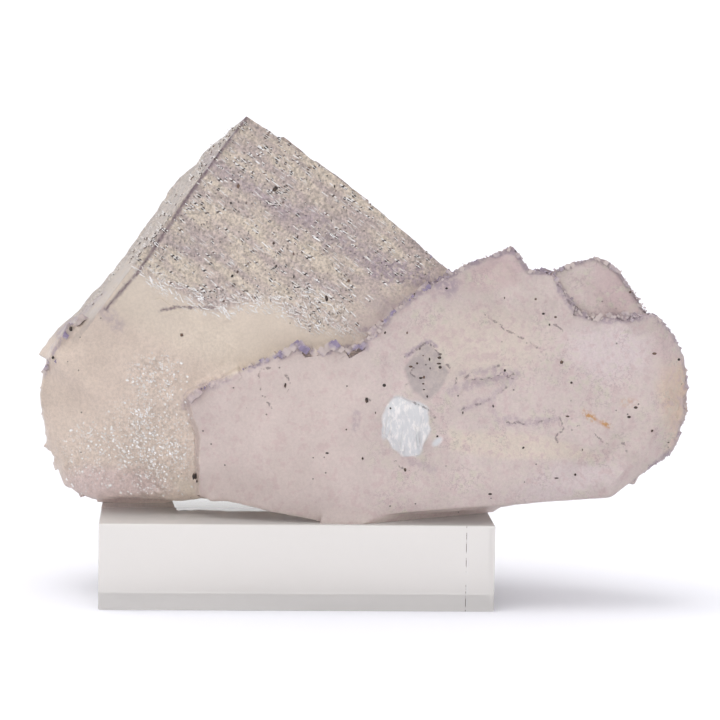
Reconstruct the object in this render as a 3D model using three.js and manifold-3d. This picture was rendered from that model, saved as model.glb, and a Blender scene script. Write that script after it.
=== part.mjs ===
// A fluorite specimen on its clear acrylic display block, in millimetres, +Z up.
// The origin is the centre of the block's underside, X runs along the block and the front looks to -Y.
// Two solids: the block, and the crystals, which grew into one another and are one piece of stone.
import * as THREE from 'three';
import { ConvexGeometry } from 'three/addons/geometries/ConvexGeometry.js';
import { mergeVertices } from 'three/addons/utils/BufferGeometryUtils.js';
import Module from 'manifold-3d';

// The display block
const BLOCK_LENGTH = 59;
const BLOCK_DEPTH = 25;
const BLOCK_HEIGHT = 13;
const BLOCK_BEVEL = 0.2;

// How the stone sits: its own axes are x right, y back from the front growth plane, z up
const STONE_ORIGIN = new THREE.Vector3(0.34, -12.5, BLOCK_HEIGHT + 0.73);
const STONE_TURN = 3.05;
const STONE_LEAN = 6.8;
const STONE_TIP = 0.84;
const REST_GAP = 0.02;

// The tall cube: its top corner, and how far it runs down to the left, down to the right and back
const CUBE_CORNER = new THREE.Vector3(-8.05, 3.2, 60.1);
const CUBE_LEFT = 47.5;
const CUBE_RIGHT = 50;
const CUBE_BACK = 30;
const CUBE_SLOPE = 37.1;
const CUBE_SWING = 1.4;
const CUBE_RECLINE = 1.2;
const CUBE_SIDE_SLANT = 15.5;

// Growth layers down the cube's left face: how far below the top corner each starts and how far it stands out
const LEFT_LAYERS = [
  { start: 0, out: 1 },
  { start: 4, out: 2 },
  { start: 10, out: 3 },
  { start: 16, out: 2.5 },
  { start: 33, out: 3 },
  { start: 40, out: 4 },
];
const LAYER_RAMP = 3;

// The low crown along the cube's right edge, an arc
const CROWN_LENGTH = 36;
const CROWN_RISE = 0.9;
const CROWN_POINTS = 10;

// The lilac growth in front of the cube: where its face lies, and how it leans away to the right
const LILAC_FRONT = 0.55;
const LILAC_SWING = 0.02;
const LILAC_RISE = -0.004;

const wasm = await Module();
wasm.setup();
const degrees = THREE.MathUtils.degToRad;

// Basic solids

function solidOf(geometry) {
  const bare = geometry.clone();
  for (const name of Object.keys(bare.attributes)) {
    if (name !== 'position') bare.deleteAttribute(name);
  }
  const merged = mergeVertices(bare, 1e-4);
  const vertProperties = new Float32Array(merged.attributes.position.array);
  const triVerts = new Uint32Array(merged.index.array);
  return new wasm.Manifold(new wasm.Mesh({ numProp: 3, vertProperties, triVerts }));
}

function geometryOf(solid) {
  const mesh = solid.getMesh();
  const geometry = new THREE.BufferGeometry();
  geometry.setAttribute('position', new THREE.BufferAttribute(new Float32Array(mesh.vertProperties), 3));
  geometry.setIndex(new THREE.BufferAttribute(new Uint32Array(mesh.triVerts), 1));
  return geometry;
}

function join(solids) {
  return solids.reduce((whole, solid) => whole.add(solid));
}

function carve(solid, cutters) {
  return cutters.reduce((rest, cutter) => rest.subtract(cutter), solid);
}

// A solid with the flat faces that span its corner points
function hull(points) {
  return solidOf(new ConvexGeometry(points.map((point) => new THREE.Vector3(...point))));
}

// A slab whose outline lies in the front plane, from a leaning front face to a flat back one
function slab(outline, { front, back, narrow = 1, about = [0, 0] }) {
  const shape = new THREE.Shape(outline.map(([x, z]) => new THREE.Vector2(x, z)));
  const geometry = new THREE.ExtrudeGeometry(shape, { depth: back - front, bevelEnabled: false });
  geometry.rotateX(Math.PI / 2);
  geometry.translate(0, back, 0);
  const place = geometry.attributes.position;
  const middle = (front + back) / 2;
  for (let i = 0; i < place.count; i += 1) {
    const x = place.getX(i);
    const z = place.getZ(i);
    if (place.getY(i) < middle) {
      place.setY(i, front + LILAC_SWING * x + LILAC_RISE * z);
    } else {
      place.setX(i, about[0] + (x - about[0]) * narrow);
      place.setZ(i, about[1] + (z - about[1]) * narrow);
    }
  }
  return solidOf(geometry);
}

// A cube-shaped crystal about its centre, spun in the picture's plane, then tilted and turned a little
function crystal(centre, sides, spin, tilt = 0, turn = 0) {
  const geometry = new THREE.BoxGeometry(...sides);
  const pose = new THREE.Euler(degrees(tilt), degrees(spin), degrees(turn), 'XZY');
  geometry.applyMatrix4(new THREE.Matrix4().makeRotationFromEuler(pose));
  geometry.translate(...centre);
  return solidOf(geometry);
}

// Everything on the outer side of a plane, to be cut away
function beyond(point, normal) {
  const reach = 160;
  const outward = new THREE.Vector3(...normal).normalize();
  const geometry = new THREE.BoxGeometry(reach, reach, reach);
  geometry.translate(0, 0, reach / 2);
  geometry.applyQuaternion(new THREE.Quaternion().setFromUnitVectors(new THREE.Vector3(0, 0, 1), outward));
  geometry.translate(...point);
  return solidOf(geometry);
}

// The tall cube's own axes: down to the right, back, and up to the right across the other edge

const slope = degrees(CUBE_SLOPE);
const steepRight = new THREE.Vector3(Math.cos(slope), Math.sin(degrees(CUBE_SWING)), -Math.sin(slope));
const cubeRight = steepRight.normalize();
const lookBack = new THREE.Vector3(0, 1, -Math.sin(degrees(CUBE_RECLINE)));
const cubeUp = new THREE.Vector3().crossVectors(cubeRight, lookBack).normalize();
const cubeBack = new THREE.Vector3().crossVectors(cubeUp, cubeRight);
const cubeBasis = new THREE.Matrix4().makeBasis(cubeRight, cubeBack, cubeUp).setPosition(CUBE_CORNER);

// A box in line with the tall cube, by its near corner's distances right, back and down from the top corner
function cubeBlock(right, back, down, lengths) {
  const geometry = new THREE.BoxGeometry(...lengths);
  geometry.translate(right + lengths[0] / 2, back + lengths[1] / 2, -down - lengths[2] / 2);
  return solidOf(geometry.applyMatrix4(cubeBasis));
}

// A slab in line with the tall cube, its outline given by distances right and down from the top corner
function cubeSlab(outline, front, back) {
  const shape = new THREE.Shape(outline.map(([right, down]) => new THREE.Vector2(right, -down)));
  const geometry = new THREE.ExtrudeGeometry(shape, { depth: back - front, bevelEnabled: false });
  geometry.rotateX(Math.PI / 2);
  geometry.translate(0, back, 0);
  return solidOf(geometry.applyMatrix4(cubeBasis));
}

// The tall cube, with growth layers that step out a little down its left face and a low crown along its right one
function tallCube() {
  const cube = cubeBlock(0, 0, 0, [CUBE_RIGHT, CUBE_BACK, CUBE_LEFT]);
  const steps = LEFT_LAYERS.flatMap(({ start, out }, i) => {
    const above = i === 0 ? 0 : LEFT_LAYERS[i - 1].out;
    return [[-above, start], [-out, start + LAYER_RAMP]];
  });
  const lowest = LEFT_LAYERS[LEFT_LAYERS.length - 1].out;
  const layers = cubeSlab([[2, 0], ...steps, [-lowest, CUBE_LEFT], [2, CUBE_LEFT]], 0.2, CUBE_BACK - 3);
  const slant = degrees(CUBE_SIDE_SLANT);
  const outward = cubeRight.clone().multiplyScalar(-Math.cos(slant)).addScaledVector(cubeBack, -Math.sin(slant));
  const leftSide = carve(layers, [beyond(CUBE_CORNER, outward)]);
  const arc = Array.from({ length: CROWN_POINTS + 1 }, (_, i) => [
    CROWN_LENGTH * i / CROWN_POINTS, -CROWN_RISE * Math.sin(Math.PI * i / CROWN_POINTS),
  ]);
  const crown = cubeSlab([[0, 1], ...arc, [CROWN_LENGTH, 1]], 0, CUBE_BACK - 2);
  const ridges = [
    cubeSlab([[4, 1], [6, -1.3], [24, -1.3], [30, -0.6], [30, 1]], 8, 23),
    cubeSlab([[10, 1], [12, -1.7], [22, -1.7], [25, 1]], 13, 20),
  ];
  return join([cube, leftSide, crown, ...ridges]);
}

// The growth below the cube on the left, and the cube corners that heap up along its outer edge
function lowerLeft() {
  const core = hull([
    [-31.5, 4.2, 28.2], [-35.6, 6, 28.4], [-37.6, 7, 25.8], [-39.3, 8.5, 22.6], [-40.2, 9, 19.2], [-39.8, 10, 14],
    [-38.8, 10, 10], [-37, 10, 6.6], [-34.6, 10, 3.8], [-31, 7.4, 2.6], [-15, 4.8, 2.6], [-11, 4.2, 9], [-9, 3, 25],
    [-21, 2.6, 33], [-31.5, 22, 29], [-36.8, 22, 23], [-37.4, 21, 13], [-32, 24, 4.6], [-8, 26, 4], [-8, 26, 30],
  ]);
  const heaped = [
    { at: [-34.9, 7.4, 28.3], side: 1.5, spin: 41 },
    { at: [-36.1, 8.6, 26.6], side: 1.7, spin: 36 },
    { at: [-37.3, 9.4, 24.6], side: 1.8, spin: 44 },
    { at: [-38.4, 10.6, 22.4], side: 1.7, spin: 38 },
    { at: [-39.3, 11.2, 19.6], side: 1.3, spin: 32 },
    { at: [-39.2, 12, 15.6], side: 1.2, spin: 20 },
    { at: [-38.4, 12.4, 11], side: 1.3, spin: 30 },
    { at: [-37.2, 12.6, 7.8], side: 1.4, spin: -24 },
    { at: [-35.4, 13, 5.4], side: 1.5, spin: -38 },
    { at: [-33.2, 13.4, 3.9], side: 1.4, spin: -20 },
    { at: [-31.2, 11.6, 3.3], side: 1.2, spin: 12 },
  ];
  const corners = heaped.map(({ at, side, spin }, i) => crystal(
    at, [side, 5 + side, side], spin, 6 * (i % 3) - 6, 4 - 4 * (i % 3),
  ));
  return join([core, ...corners]);
}

// The broken front of the lower left, falling back below the cube's smooth face
function leftBreaks() {
  return [
    beyond([-22, 3, 23], [-0.04, -1, -0.21]),
    beyond([-29.5, 3.1, 20], [-0.34, -1, -0.06]),
    beyond([-32.5, 6.2, 6], [-0.5, -1, -0.3]),
  ];
}

// The lilac growth: a broad face in front of the cube, with a second block behind its upper right end
const LILAC_OUTLINE = [
  [-15.7, 3.4], [-15.3, 7.1], [-15.1, 12.5], [-16.3, 15.6], [-16.7, 18], [-15, 19.5], [-13.7, 20.2],
  [-10.9, 20.9], [-8.2, 22.4], [-5.4, 23.5], [-3.7, 24.5], [-0.1, 25.4], [0.7, 24.1], [3.8, 24.6], [5, 25.6],
  [6.8, 25], [7.3, 24], [9.6, 25.3], [9.6, 26.9], [11.9, 28.2], [13.4, 30.4], [15, 31.8], [17.1, 33.5],
  [19.7, 34.9], [22.5, 36.7], [25.2, 38.1], [27.6, 38.9], [30.7, 40.2], [31.6, 40.6], [32.2, 39.9],
  [34.1, 37.1], [36.2, 36.9], [37.9, 36], [39.6, 33.2], [41, 32.1], [40.6, 30.4], [42.6, 29.9], [45, 29.8],
  [47.1, 30.4], [49.1, 29.8], [50.8, 30.4], [53, 30.5], [55.7, 27.7], [57.2, 25], [57.9, 21.6], [57.7, 17.8],
  [57.2, 14.8], [56.6, 12], [55.9, 10.2], [52.4, 7.6], [48.8, 5.1], [46.5, 3.2], [43, 3], [38.5, 2.7],
  [34.1, 2.3], [29, 1.9], [21.5, 1.4], [12.6, 0.6], [8, -0.4], [0, -0.2], [-2.2, 0.6], [-10.4, 2],
];

const UPPER_OUTLINE = [
  [33, 28], [34.1, 37], [36.2, 37.4], [37.7, 37], [41, 38.3], [44.2, 39.1], [46, 38.3], [47.4, 37.2],
  [48.4, 35.8], [50.2, 33.2], [51.5, 30.7], [52.7, 30.7], [53.4, 29.7], [54.4, 26],
];

// Deeper growth of the same mass, set in from the front one by coarse cube-corner steps
const MIDDLE_OUTLINE = [
  [-13.8, 2.5], [-14.6, 16.8], [-12, 19], [-5, 22.8], [8, 23.6], [8.4, 25.6], [14, 30.4], [20, 34], [24, 37],
  [31, 39], [33.6, 35.6], [43, 37], [49.6, 30.4], [52.4, 29], [55.4, 22], [54.6, 12], [50.6, 8.6], [45.6, 4.4],
  [30, 1.6], [10, 0],
];
const BACK_OUTLINE = [
  [-12, 4], [-12.6, 18], [2, 23.6], [12, 29], [21.6, 34], [29.6, 35], [31.6, 31.6], [38, 34], [44, 32.4],
  [46, 29.4], [51.6, 23], [50.6, 14], [44, 8.4], [42, 5.6], [25, 2.6], [8, 1],
];

function lilacGrowth() {
  const face = slab(LILAC_OUTLINE, { front: LILAC_FRONT, back: 7.5 });
  const upper = slab(UPPER_OUTLINE, { front: 1.7, back: 10, narrow: 0.98, about: [43, 24] });
  const middle = slab(MIDDLE_OUTLINE, { front: 4, back: 15, narrow: 0.96, about: [20, 16] });
  const rear = slab(BACK_OUTLINE, { front: 10, back: 22.5, narrow: 0.9, about: [18, 14] });
  const bevels = [
    beyond([-8.5, 0.4, 14], [-0.3, -1, -0.2]),
    beyond([30, 1.1, 4.4], [0.03, -1, -0.45]),
    beyond([51.5, 1.6, 11], [0.6, -1, -0.5]),
    beyond([54.2, 1.6, 20], [1, -0.9, 0.05]),
  ];
  return join([carve(face.add(upper), bevels), middle, rear, ...endCorners()]);
}

// The broken right end, a heap of small cube corners
function endCorners() {
  return [
    crystal([53.6, 8.4, 27.1], [3.2, 8, 3.2], 44, 6, -8),
    crystal([55.2, 9.4, 23.4], [3, 9, 3.2], 36, -5, 6),
    crystal([55.9, 9.2, 19.8], [2.8, 9, 3], 43, 5, 4),
    crystal([55.6, 9.8, 16], [3, 9, 3.2], 34, -6, 8),
    crystal([54.9, 9.6, 12.6], [2.8, 9, 2.8], 46, 7, -5),
    crystal([52, 9.6, 9.6], [3.2, 9, 3], 37, 7, -5),
    crystal([49, 9.8, 7], [3, 8, 2.8], 32, 4, 7),
    crystal([46, 9.8, 5.2], [2.6, 8, 2.4], 40, -4, -5),
    crystal([52, 13, 20], [6, 12, 14], 12, 4, 5),
  ];
}

// Small cube corners all along an edge, side by side, their sizes wandering a little
function edgeTeeth(path, spacing, size) {
  const curve = new THREE.CurvePath();
  for (let i = 1; i < path.length; i += 1) {
    curve.add(new THREE.LineCurve(new THREE.Vector2(...path[i - 1]), new THREE.Vector2(...path[i])));
  }
  const count = Math.round(curve.getLength() / spacing);
  const teeth = [];
  for (let i = 0; i <= count; i += 1) {
    const spot = curve.getPointAt(i / count);
    const wander = Math.sin(2.4 * i) + 0.6 * Math.sin(5.3 * i + 1);
    const side = size * (1 + 0.4 * wander);
    const reach = 4;
    const depth = LILAC_FRONT + LILAC_SWING * spot.x + reach / 2 - 0.1 * wander;
    teeth.push(crystal([spot.x, depth, spot.y], [side, reach, side], 38 + 9 * wander, 2 * wander, -3 * wander));
  }
  return teeth;
}

const LEDGE = [
  [-16.2, 18.2], [-13.7, 20.2], [-10.9, 20.9], [-5.4, 23.5], [-0.1, 25.2], [3.8, 24.6], [7, 25], [9.6, 26.4],
  [13.4, 30.4], [17.1, 33.4], [22, 36.2],
];
const STEP = [[37.6, 35.8], [39.4, 33], [40.8, 31], [42.6, 29.9], [45, 29.9], [47.1, 30.3], [51, 30]];

// White crushed patch on the lilac face, a low lump with upright splinters
function whitePatch() {
  const lump = hull([
    [12.9, 0.7, 17.2], [13.7, 0.7, 18.1], [14.9, 0.7, 18.3], [16.7, 0.7, 17.4], [18.4, 0.8, 16.8], [19.4, 0.9, 15.6],
    [19.4, 0.9, 13.4], [18.7, 0.8, 11.9], [17.8, 0.8, 9.6], [15.4, 0.8, 9.4], [14.1, 0.8, 10], [12.4, 0.7, 12.6],
    [11.9, 0.7, 15.2], [13.6, 0.05, 16.4], [15.6, -0.1, 16.2], [17.6, 0.15, 15], [17, -0.1, 12.4], [15.8, -0.05, 10.8],
    [13.6, 0, 13.2], [12.6, 3, 14], [18.6, 3, 14],
  ]);
  const splinters = [[13, 14, 2.6, 14], [15.2, 12, 3.4, 5], [17.4, 12.4, 3, -6]];
  const ridges = splinters.map(([x, z, length, spin]) => crystal([x, 0.35, z], [0.5, 0.9, length], spin, 2, 18));
  return join([lump, ...ridges]);
}

// Crystals of the back and the far sides, cube corners at several angles, and the mass that they grew on
function backCrystals() {
  return [
    crystal([-12, 25, 27], [22, 16, 22], 41, 8, -12),
    crystal([14, 23, 17], [24, 16, 20], 28, -10, 9),
    crystal([37, 16, 19], [18, 13, 18], 39, 9, 12),
    crystal([-28, 20, 16], [13, 15, 15], 20, -9, 14),
    crystal([3, 29, 30], [13, 10, 13], 50, 14, 20),
    crystal([24, 21, 26], [13, 11, 13], 38, -12, -14),
    crystal([-20, 29, 13], [12, 9, 11], 28, 18, -10),
    crystal([12, 31, 10], [11, 7, 10], 40, -16, 12),
    crystal([44, 20, 13], [9, 8, 8], 22, 14, -9),
    crystal([11, 15, 17], [48, 17, 20], 0, 2, 4),
  ];
}

// Where the stone meets the block: a long foot on the right and a small one at the back left
function feet() {
  return [
    hull([
      [3, 1.4, -0.6], [9, 1.4, -0.8], [13, 9.5, -1], [21, 12.5, -1], [29, 16, -1], [31, 24, -1], [2, 26, -1],
      [4, 2, 5], [30, 6, 8], [31, 24, 10], [2, 24, 10],
    ]),
    hull([
      [-31, 19, 0.5], [-22, 19, 0.5], [-31, 26, 0.5], [-18, 27, 0.5], [-33, 16, 7], [-18, 14, 7], [-33, 26, 9],
      [-16, 26, 9],
    ]),
  ];
}

// Old breaks that leave flat cleavage faces on the back
function backBreaks() {
  return [
    beyond([-8, 25, 58], [0.15, 1, 0.75]),
    beyond([14, 31, 40], [0.55, 1, 0.25]),
    beyond([-34, 24, 24], [-0.8, 1, 0.35]),
    beyond([45, 20, 24], [0.5, 1, 0.6]),
    beyond([0, 36, 10], [0.05, 1, -0.12]),
    beyond([-10, 33, 4], [-0.2, 0.8, -0.9]),
    beyond([40, 22, 3], [0.3, 0.8, -0.9]),
  ];
}

// The whole stone in its own axes
function stoneSolid() {
  const left = carve(tallCube().add(lowerLeft()), leftBreaks());
  const teeth = [...edgeTeeth(LEDGE, 1.25, 1.05), ...edgeTeeth(STEP, 1.3, 1)];
  const solids = [left, lilacGrowth(), ...teeth, whitePatch(), ...backCrystals(), ...feet()];
  return carve(join(solids), backBreaks());
}

// The stone set down on the block, its foot cut level, with the open hollow under its left half
function seatedStone() {
  const place = new THREE.Matrix4().makeTranslation(...STONE_ORIGIN)
    .multiply(new THREE.Matrix4().makeRotationZ(degrees(-STONE_TURN)))
    .multiply(new THREE.Matrix4().makeRotationX(degrees(-STONE_LEAN)))
    .multiply(new THREE.Matrix4().makeRotationY(degrees(-STONE_TIP)));
  const standing = solidOf(geometryOf(stoneSolid()).applyMatrix4(place));
  const seat = BLOCK_HEIGHT + REST_GAP;
  const frontHollow = hull([
    [-17, -16, seat - 1], [4, -16, seat - 1], [-16, -16, seat + 3.1], [-4, -16, seat + 1.1], [3, -16, seat],
    [-19, 10, seat - 1], [4, 10, seat - 1], [-18, 10, seat + 1.6], [2, 10, seat + 1.6],
  ]);
  const backHollow = hull([
    [-19, 9.5, seat - 1], [4, 9.5, seat - 1], [-18, 9.5, seat + 1.6], [2, 9.5, seat + 1.6],
    [-24, 45, seat - 1], [10, 45, seat - 1], [-22, 45, seat + 11], [8, 45, seat + 11],
  ]);
  return geometryOf(carve(standing, [beyond([0, 0, seat], [0, 0, -1]), frontHollow, backHollow]));
}

// The block, its edges polished to a narrow bevel
function blockGeometry() {
  const half = [BLOCK_LENGTH / 2, BLOCK_DEPTH / 2, BLOCK_HEIGHT / 2];
  const corners = [];
  for (const signs of [[1, 1, 1], [1, 1, -1], [1, -1, 1], [1, -1, -1], [-1, 1, 1], [-1, 1, -1], [-1, -1, 1],
    [-1, -1, -1]]) {
    for (let long = 0; long < 3; long += 1) {
      const corner = signs.map((sign, axis) => sign * (half[axis] - (axis === long ? 0 : BLOCK_BEVEL)));
      corners.push([corner[0], corner[1], corner[2] + half[2]]);
    }
  }
  return geometryOf(hull(corners));
}

function named(name, geometry, look) {
  const mesh = new THREE.Mesh(geometry, new THREE.MeshStandardMaterial(look));
  mesh.name = name;
  return mesh;
}

const specimen = new THREE.Group();
specimen.add(named('fluorite_cluster', seatedStone(), { color: 0xcdbfb8, roughness: 0.5, metalness: 0 }));
specimen.add(named('acrylic_block', blockGeometry(), { color: 0xe6e5e2, roughness: 0.08, metalness: 0 }));

export default specimen;
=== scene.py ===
"""A fluorite specimen on its clear acrylic display block, dressed over its CAD solids.

The stone is one cluster of cube-shaped crystals: a tall honey and grey cube on the left, a sugary
broken growth under it, and a broad lilac growth in front of both. Lengths in the code are millimetres,
in the stone's own axes: x right, y back from the front growth face, z up.
"""

import math

import bmesh
import bpy
import numpy as np
from mathutils import Matrix, Vector


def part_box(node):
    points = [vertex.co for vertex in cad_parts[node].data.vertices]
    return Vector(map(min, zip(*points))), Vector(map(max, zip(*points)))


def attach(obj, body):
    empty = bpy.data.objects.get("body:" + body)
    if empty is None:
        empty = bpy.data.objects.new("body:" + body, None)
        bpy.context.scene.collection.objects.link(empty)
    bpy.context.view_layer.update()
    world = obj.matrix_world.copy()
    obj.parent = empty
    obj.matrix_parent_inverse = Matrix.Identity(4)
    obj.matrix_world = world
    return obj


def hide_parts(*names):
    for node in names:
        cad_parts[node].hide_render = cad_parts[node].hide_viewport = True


bl_info = {
    "name": "Fluorite Display Specimen",
    "version": (1, 0, 0),
    "blender": (4, 5, 0),
    "location": "View3D > Sidebar > Specimen",
    "description": "Builds a fluorite crystal cluster and the clear block that it rests on",
    "category": "Add Mesh",
}

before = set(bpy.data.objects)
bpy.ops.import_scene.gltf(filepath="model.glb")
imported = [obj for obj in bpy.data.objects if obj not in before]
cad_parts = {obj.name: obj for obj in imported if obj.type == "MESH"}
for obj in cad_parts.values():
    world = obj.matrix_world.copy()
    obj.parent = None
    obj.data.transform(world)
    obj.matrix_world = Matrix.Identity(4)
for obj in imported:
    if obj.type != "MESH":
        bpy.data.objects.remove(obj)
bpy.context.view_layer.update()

MM = 0.001

# Height of the stone's level foot above the floor, in millimetres
SEAT = 13.02

# How many small pieces a square metre of the stone carries where their mask is full
SPECKS_PER_AREA = 900000.0
FLAKES_PER_AREA = 900000.0
GRAINS_PER_AREA = 4200000.0
CRUST_PER_AREA = 2200000.0

# Reach of a marked speck in millimetres for each tenth that its row gives
SPECK_REACH = 0.095

# How the stone sits in the frame
STONE_ORIGIN = Vector((0.34, -12.5, 13.73))
STONE_TURN = 3.05
STONE_LEAN = 6.8
STONE_TIP = 0.84
STONE_AXES = (
    Matrix.Rotation(math.radians(-STONE_TURN), 3, "Z")
    @ Matrix.Rotation(math.radians(-STONE_LEAN), 3, "X")
    @ Matrix.Rotation(math.radians(-STONE_TIP), 3, "Y")
)

# The tall cube's upper corner, and how steeply its right edge falls
CUBE_CORNER = (-8.05, 60.1)
CUBE_SLOPE = 37.1

# The camera, where the photograph was taken from
CAMERA_PLACE = Vector((-18.458, -525.276, 98.953))
CAMERA_TURN = 3.054
CAMERA_PITCH = 6.8
CAMERA_ROLL = 0.842
CAMERA_LENS = 175.0


def colour(code):
    """A linear colour from an sRGB hex code."""
    channels = [int(code[i : i + 2], 16) / 255 for i in (1, 3, 5)]
    return tuple(c / 12.92 if c <= 0.04045 else ((c + 0.055) / 1.055) ** 2.4 for c in channels)


def shade(name, code, description):
    """A colour setting with its default."""
    return bpy.props.FloatVectorProperty(
        name=name, description=description, default=colour(code), subtype="COLOR", min=0, max=1
    )


def length(name, default_mm, description):
    """A length setting with its default, given in millimetres."""
    return bpy.props.FloatProperty(
        name=name, description=description, default=default_mm * MM, unit="LENGTH", min=0, precision=5
    )


# Settings


class StoneSettings(bpy.types.PropertyGroup):
    """Sizes and colours of the fluorite."""

    front_grain: length("Front grain", 0.4, "Longest mesh edge on the front faces")
    back_grain: length("Back grain", 1.1, "Longest mesh edge on the sides and the back")
    step_height: length("Step height", 0.09, "Height of the growth steps on the rough face")
    sugar_height: length("Sugar height", 0.3, "Height of the relief on the broken, sugary growth")
    lilac: shade("Lilac", "#D8C9C4", "Frosted growth in front")
    blush: shade("Blush", "#D0BAB8", "Pinker parts of the lilac growth")
    honey: shade("Honey", "#E2D4C4", "Smooth honey parts")
    smoke: shade("Smoke", "#C5B5B0", "Etched upper face of the tall cube")
    sand: shade("Sand", "#DDCFBE", "Yellowish parts of the etched face")
    violet: shade("Violet", "#A897A3", "Edges, ledges and growth bands")
    # Chalk is the white of bruised and crushed crystal, and also the colour of the painted glints on the
    # etched face, the sugary growth and the bright slivers.
    chalk_and_glint: shade("Chalk", "#FFFDFC", "Bruised and crushed crystal")
    ledge: shade("Ledge crystals", "#9C8EAA", "Small crystals along the ledges")
    rust: shade("Rust", "#C48F54", "Iron stain")
    # Right end: a tan tone, lifted lighter as painted light to make up for the shade that the end turns into.
    lightened_end: shade("Earth", "#E0C8B2", "Weathered right end")
    ink: shade("Ink", "#2E2724", "Specks and open pits")


class BlockSettings(bpy.types.PropertyGroup):
    """Sizes and colours of the display block."""

    edge_radius: length("Edge radius", 0.25, "Radius of the flame-polished edges")
    # The acrylic colour fills the block's diffuse half. In part it is painted light, standing for the bright
    # surroundings and the stone seen through and reflected in the clear block.
    body: shade("Acrylic", "#F7F3EF", "Hazy clear acrylic")
    depth_tint: shade("Depth tint", "#EFF0EB", "Tint that the acrylic gives to light passing through")


class GrowthSettings(bpy.types.PropertyGroup):
    """The small crystals, flakes and specks on the stone."""

    tooth_size: length("Edge crystal", 0.6, "Side of the small cubes along the edges")
    tooth_gap: length("Edge spacing", 0.42, "Distance between the small cubes along an edge")
    speck_size: length("Speck", 0.34, "Radius of a dark speck")
    crust_size: length("Rim crystal", 0.8, "Side of the small cubes that roughen the outer rim")
    grain_size: length("Sugar grain", 0.36, "Side of a bright grain in the sugary growth")
    flake_length: length("Flake", 1.1, "Length of a bright cleavage flake")
    seed: bpy.props.IntProperty(name="Seed", description="Seed of the places, sizes and turns", default=7)


class StageSettings(bpy.types.PropertyGroup):
    """Floor and light."""

    floor: shade("Floor", "#E9E9EE", "Pale paper floor")
    surround: bpy.props.FloatProperty(name="Surround", description="Strength of the surround", default=1.09)
    key: bpy.props.FloatProperty(name="Key light", description="Strength of the soft sun", default=1.1)


# Mesh helpers


def stone_space(points):
    """Points of the frame, in metres, as millimetres in the stone's axes."""
    return (np.asarray(points) / MM - np.array(STONE_ORIGIN)) @ np.array(STONE_AXES)


def frame_space(points):
    """Points in the stone's axes as metres in the frame."""
    return (np.asarray(points) @ np.array(STONE_AXES).T + np.array(STONE_ORIGIN)) * MM


def ramp(start, end, value):
    """0 before start, 1 after end, and smooth between."""
    t = np.clip((value - start) / (end - start), 0, 1)
    return t * t * (3 - 2 * t)


def hashed(cells, seed):
    """A number from 0 to 1 for each whole-number cell, the same one every time."""
    mixed = np.sin(cells @ np.array([127.1, 311.7, 74.7]) + 19.19 * seed) * 43758.5453
    return mixed - np.floor(mixed)


def blocks(points, size, seed):
    """Steps from 0 to 1 that change from one box-shaped cell to the next."""
    return hashed(np.floor(points / np.array(size)), seed)


def drift(points, size, seed):
    """Smooth noise from -1 to 1 whose waves are about as long as size."""
    scaled = points / np.array(size)
    base = np.floor(scaled)
    part = scaled - base
    part = part * part * (3 - 2 * part)
    total = np.zeros(len(points))
    for corner in np.ndindex(2, 2, 2):
        weight = np.prod(np.where(corner, part, 1 - part), axis=1)
        total += weight * hashed(base + np.array(corner), seed)
    return 2 * total - 1


def path_gap(flat, path):
    """Distance from each point of the front plane to a path."""
    nearest = np.full(len(flat), 1e9)
    for start, end in zip(path, path[1:]):
        start = np.array(start, float)
        along = np.array(end, float) - start
        t = np.clip((flat - start) @ along / (along @ along), 0, 1)
        nearest = np.minimum(nearest, np.linalg.norm(flat - start - t[:, None] * along, axis=1))
    return nearest


def depth_inside(flat, outline):
    """Distance to an outline, above zero inside it and below zero outside."""
    inside = np.zeros(len(flat), bool)
    for (x0, z0), (x1, z1) in zip(outline, outline[1:] + outline[:1]):
        crosses = (z0 > flat[:, 1]) != (z1 > flat[:, 1])
        rise = z1 - z0 if z1 != z0 else 1e-9
        inside ^= crosses & (flat[:, 0] < (x1 - x0) * (flat[:, 1] - z0) / rise + x0)
    gap = path_gap(flat, outline + outline[:1])
    return np.where(inside, gap, -gap)


def oval(flat, centre, reach, turn=0.0):
    """1 at the middle of an oval, falling to 0 at its edge."""
    c, s = math.cos(math.radians(turn)), math.sin(math.radians(turn))
    offset = (flat - np.array(centre)) @ np.array([[c, -s], [s, c]])
    return 1 - ramp(0.35, 1.0, np.linalg.norm(offset / np.array(reach), axis=1))


def merged_node(name):
    """A merged copy of a CAD node's mesh, its flat faces cut into well-shaped triangles."""
    work = bmesh.new()
    work.from_mesh(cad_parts[name].data)
    bmesh.ops.remove_doubles(work, verts=work.verts[:], dist=2e-6)
    bmesh.ops.dissolve_limit(work, angle_limit=math.radians(0.3), verts=work.verts[:], edges=work.edges[:])
    bmesh.ops.triangulate(work, faces=work.faces[:], ngon_method="BEAUTY")
    bmesh.ops.recalc_face_normals(work, faces=work.faces[:])
    points, triangles = mesh_arrays(work)
    work.free()
    return points, triangles


def mesh_arrays(work):
    """A bmesh's points and triangles."""
    work.verts.index_update()
    points = np.array([v.co[:] for v in work.verts])
    triangles = np.array([[v.index for v in f.verts] for f in work.faces])
    return points, triangles


def mesh_from(name, points, triangles):
    """A mesh of points and triangles."""
    mesh = bpy.data.meshes.new(name)
    mesh.from_pydata(points.tolist(), [], triangles.tolist())
    mesh.update()
    return mesh


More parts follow.
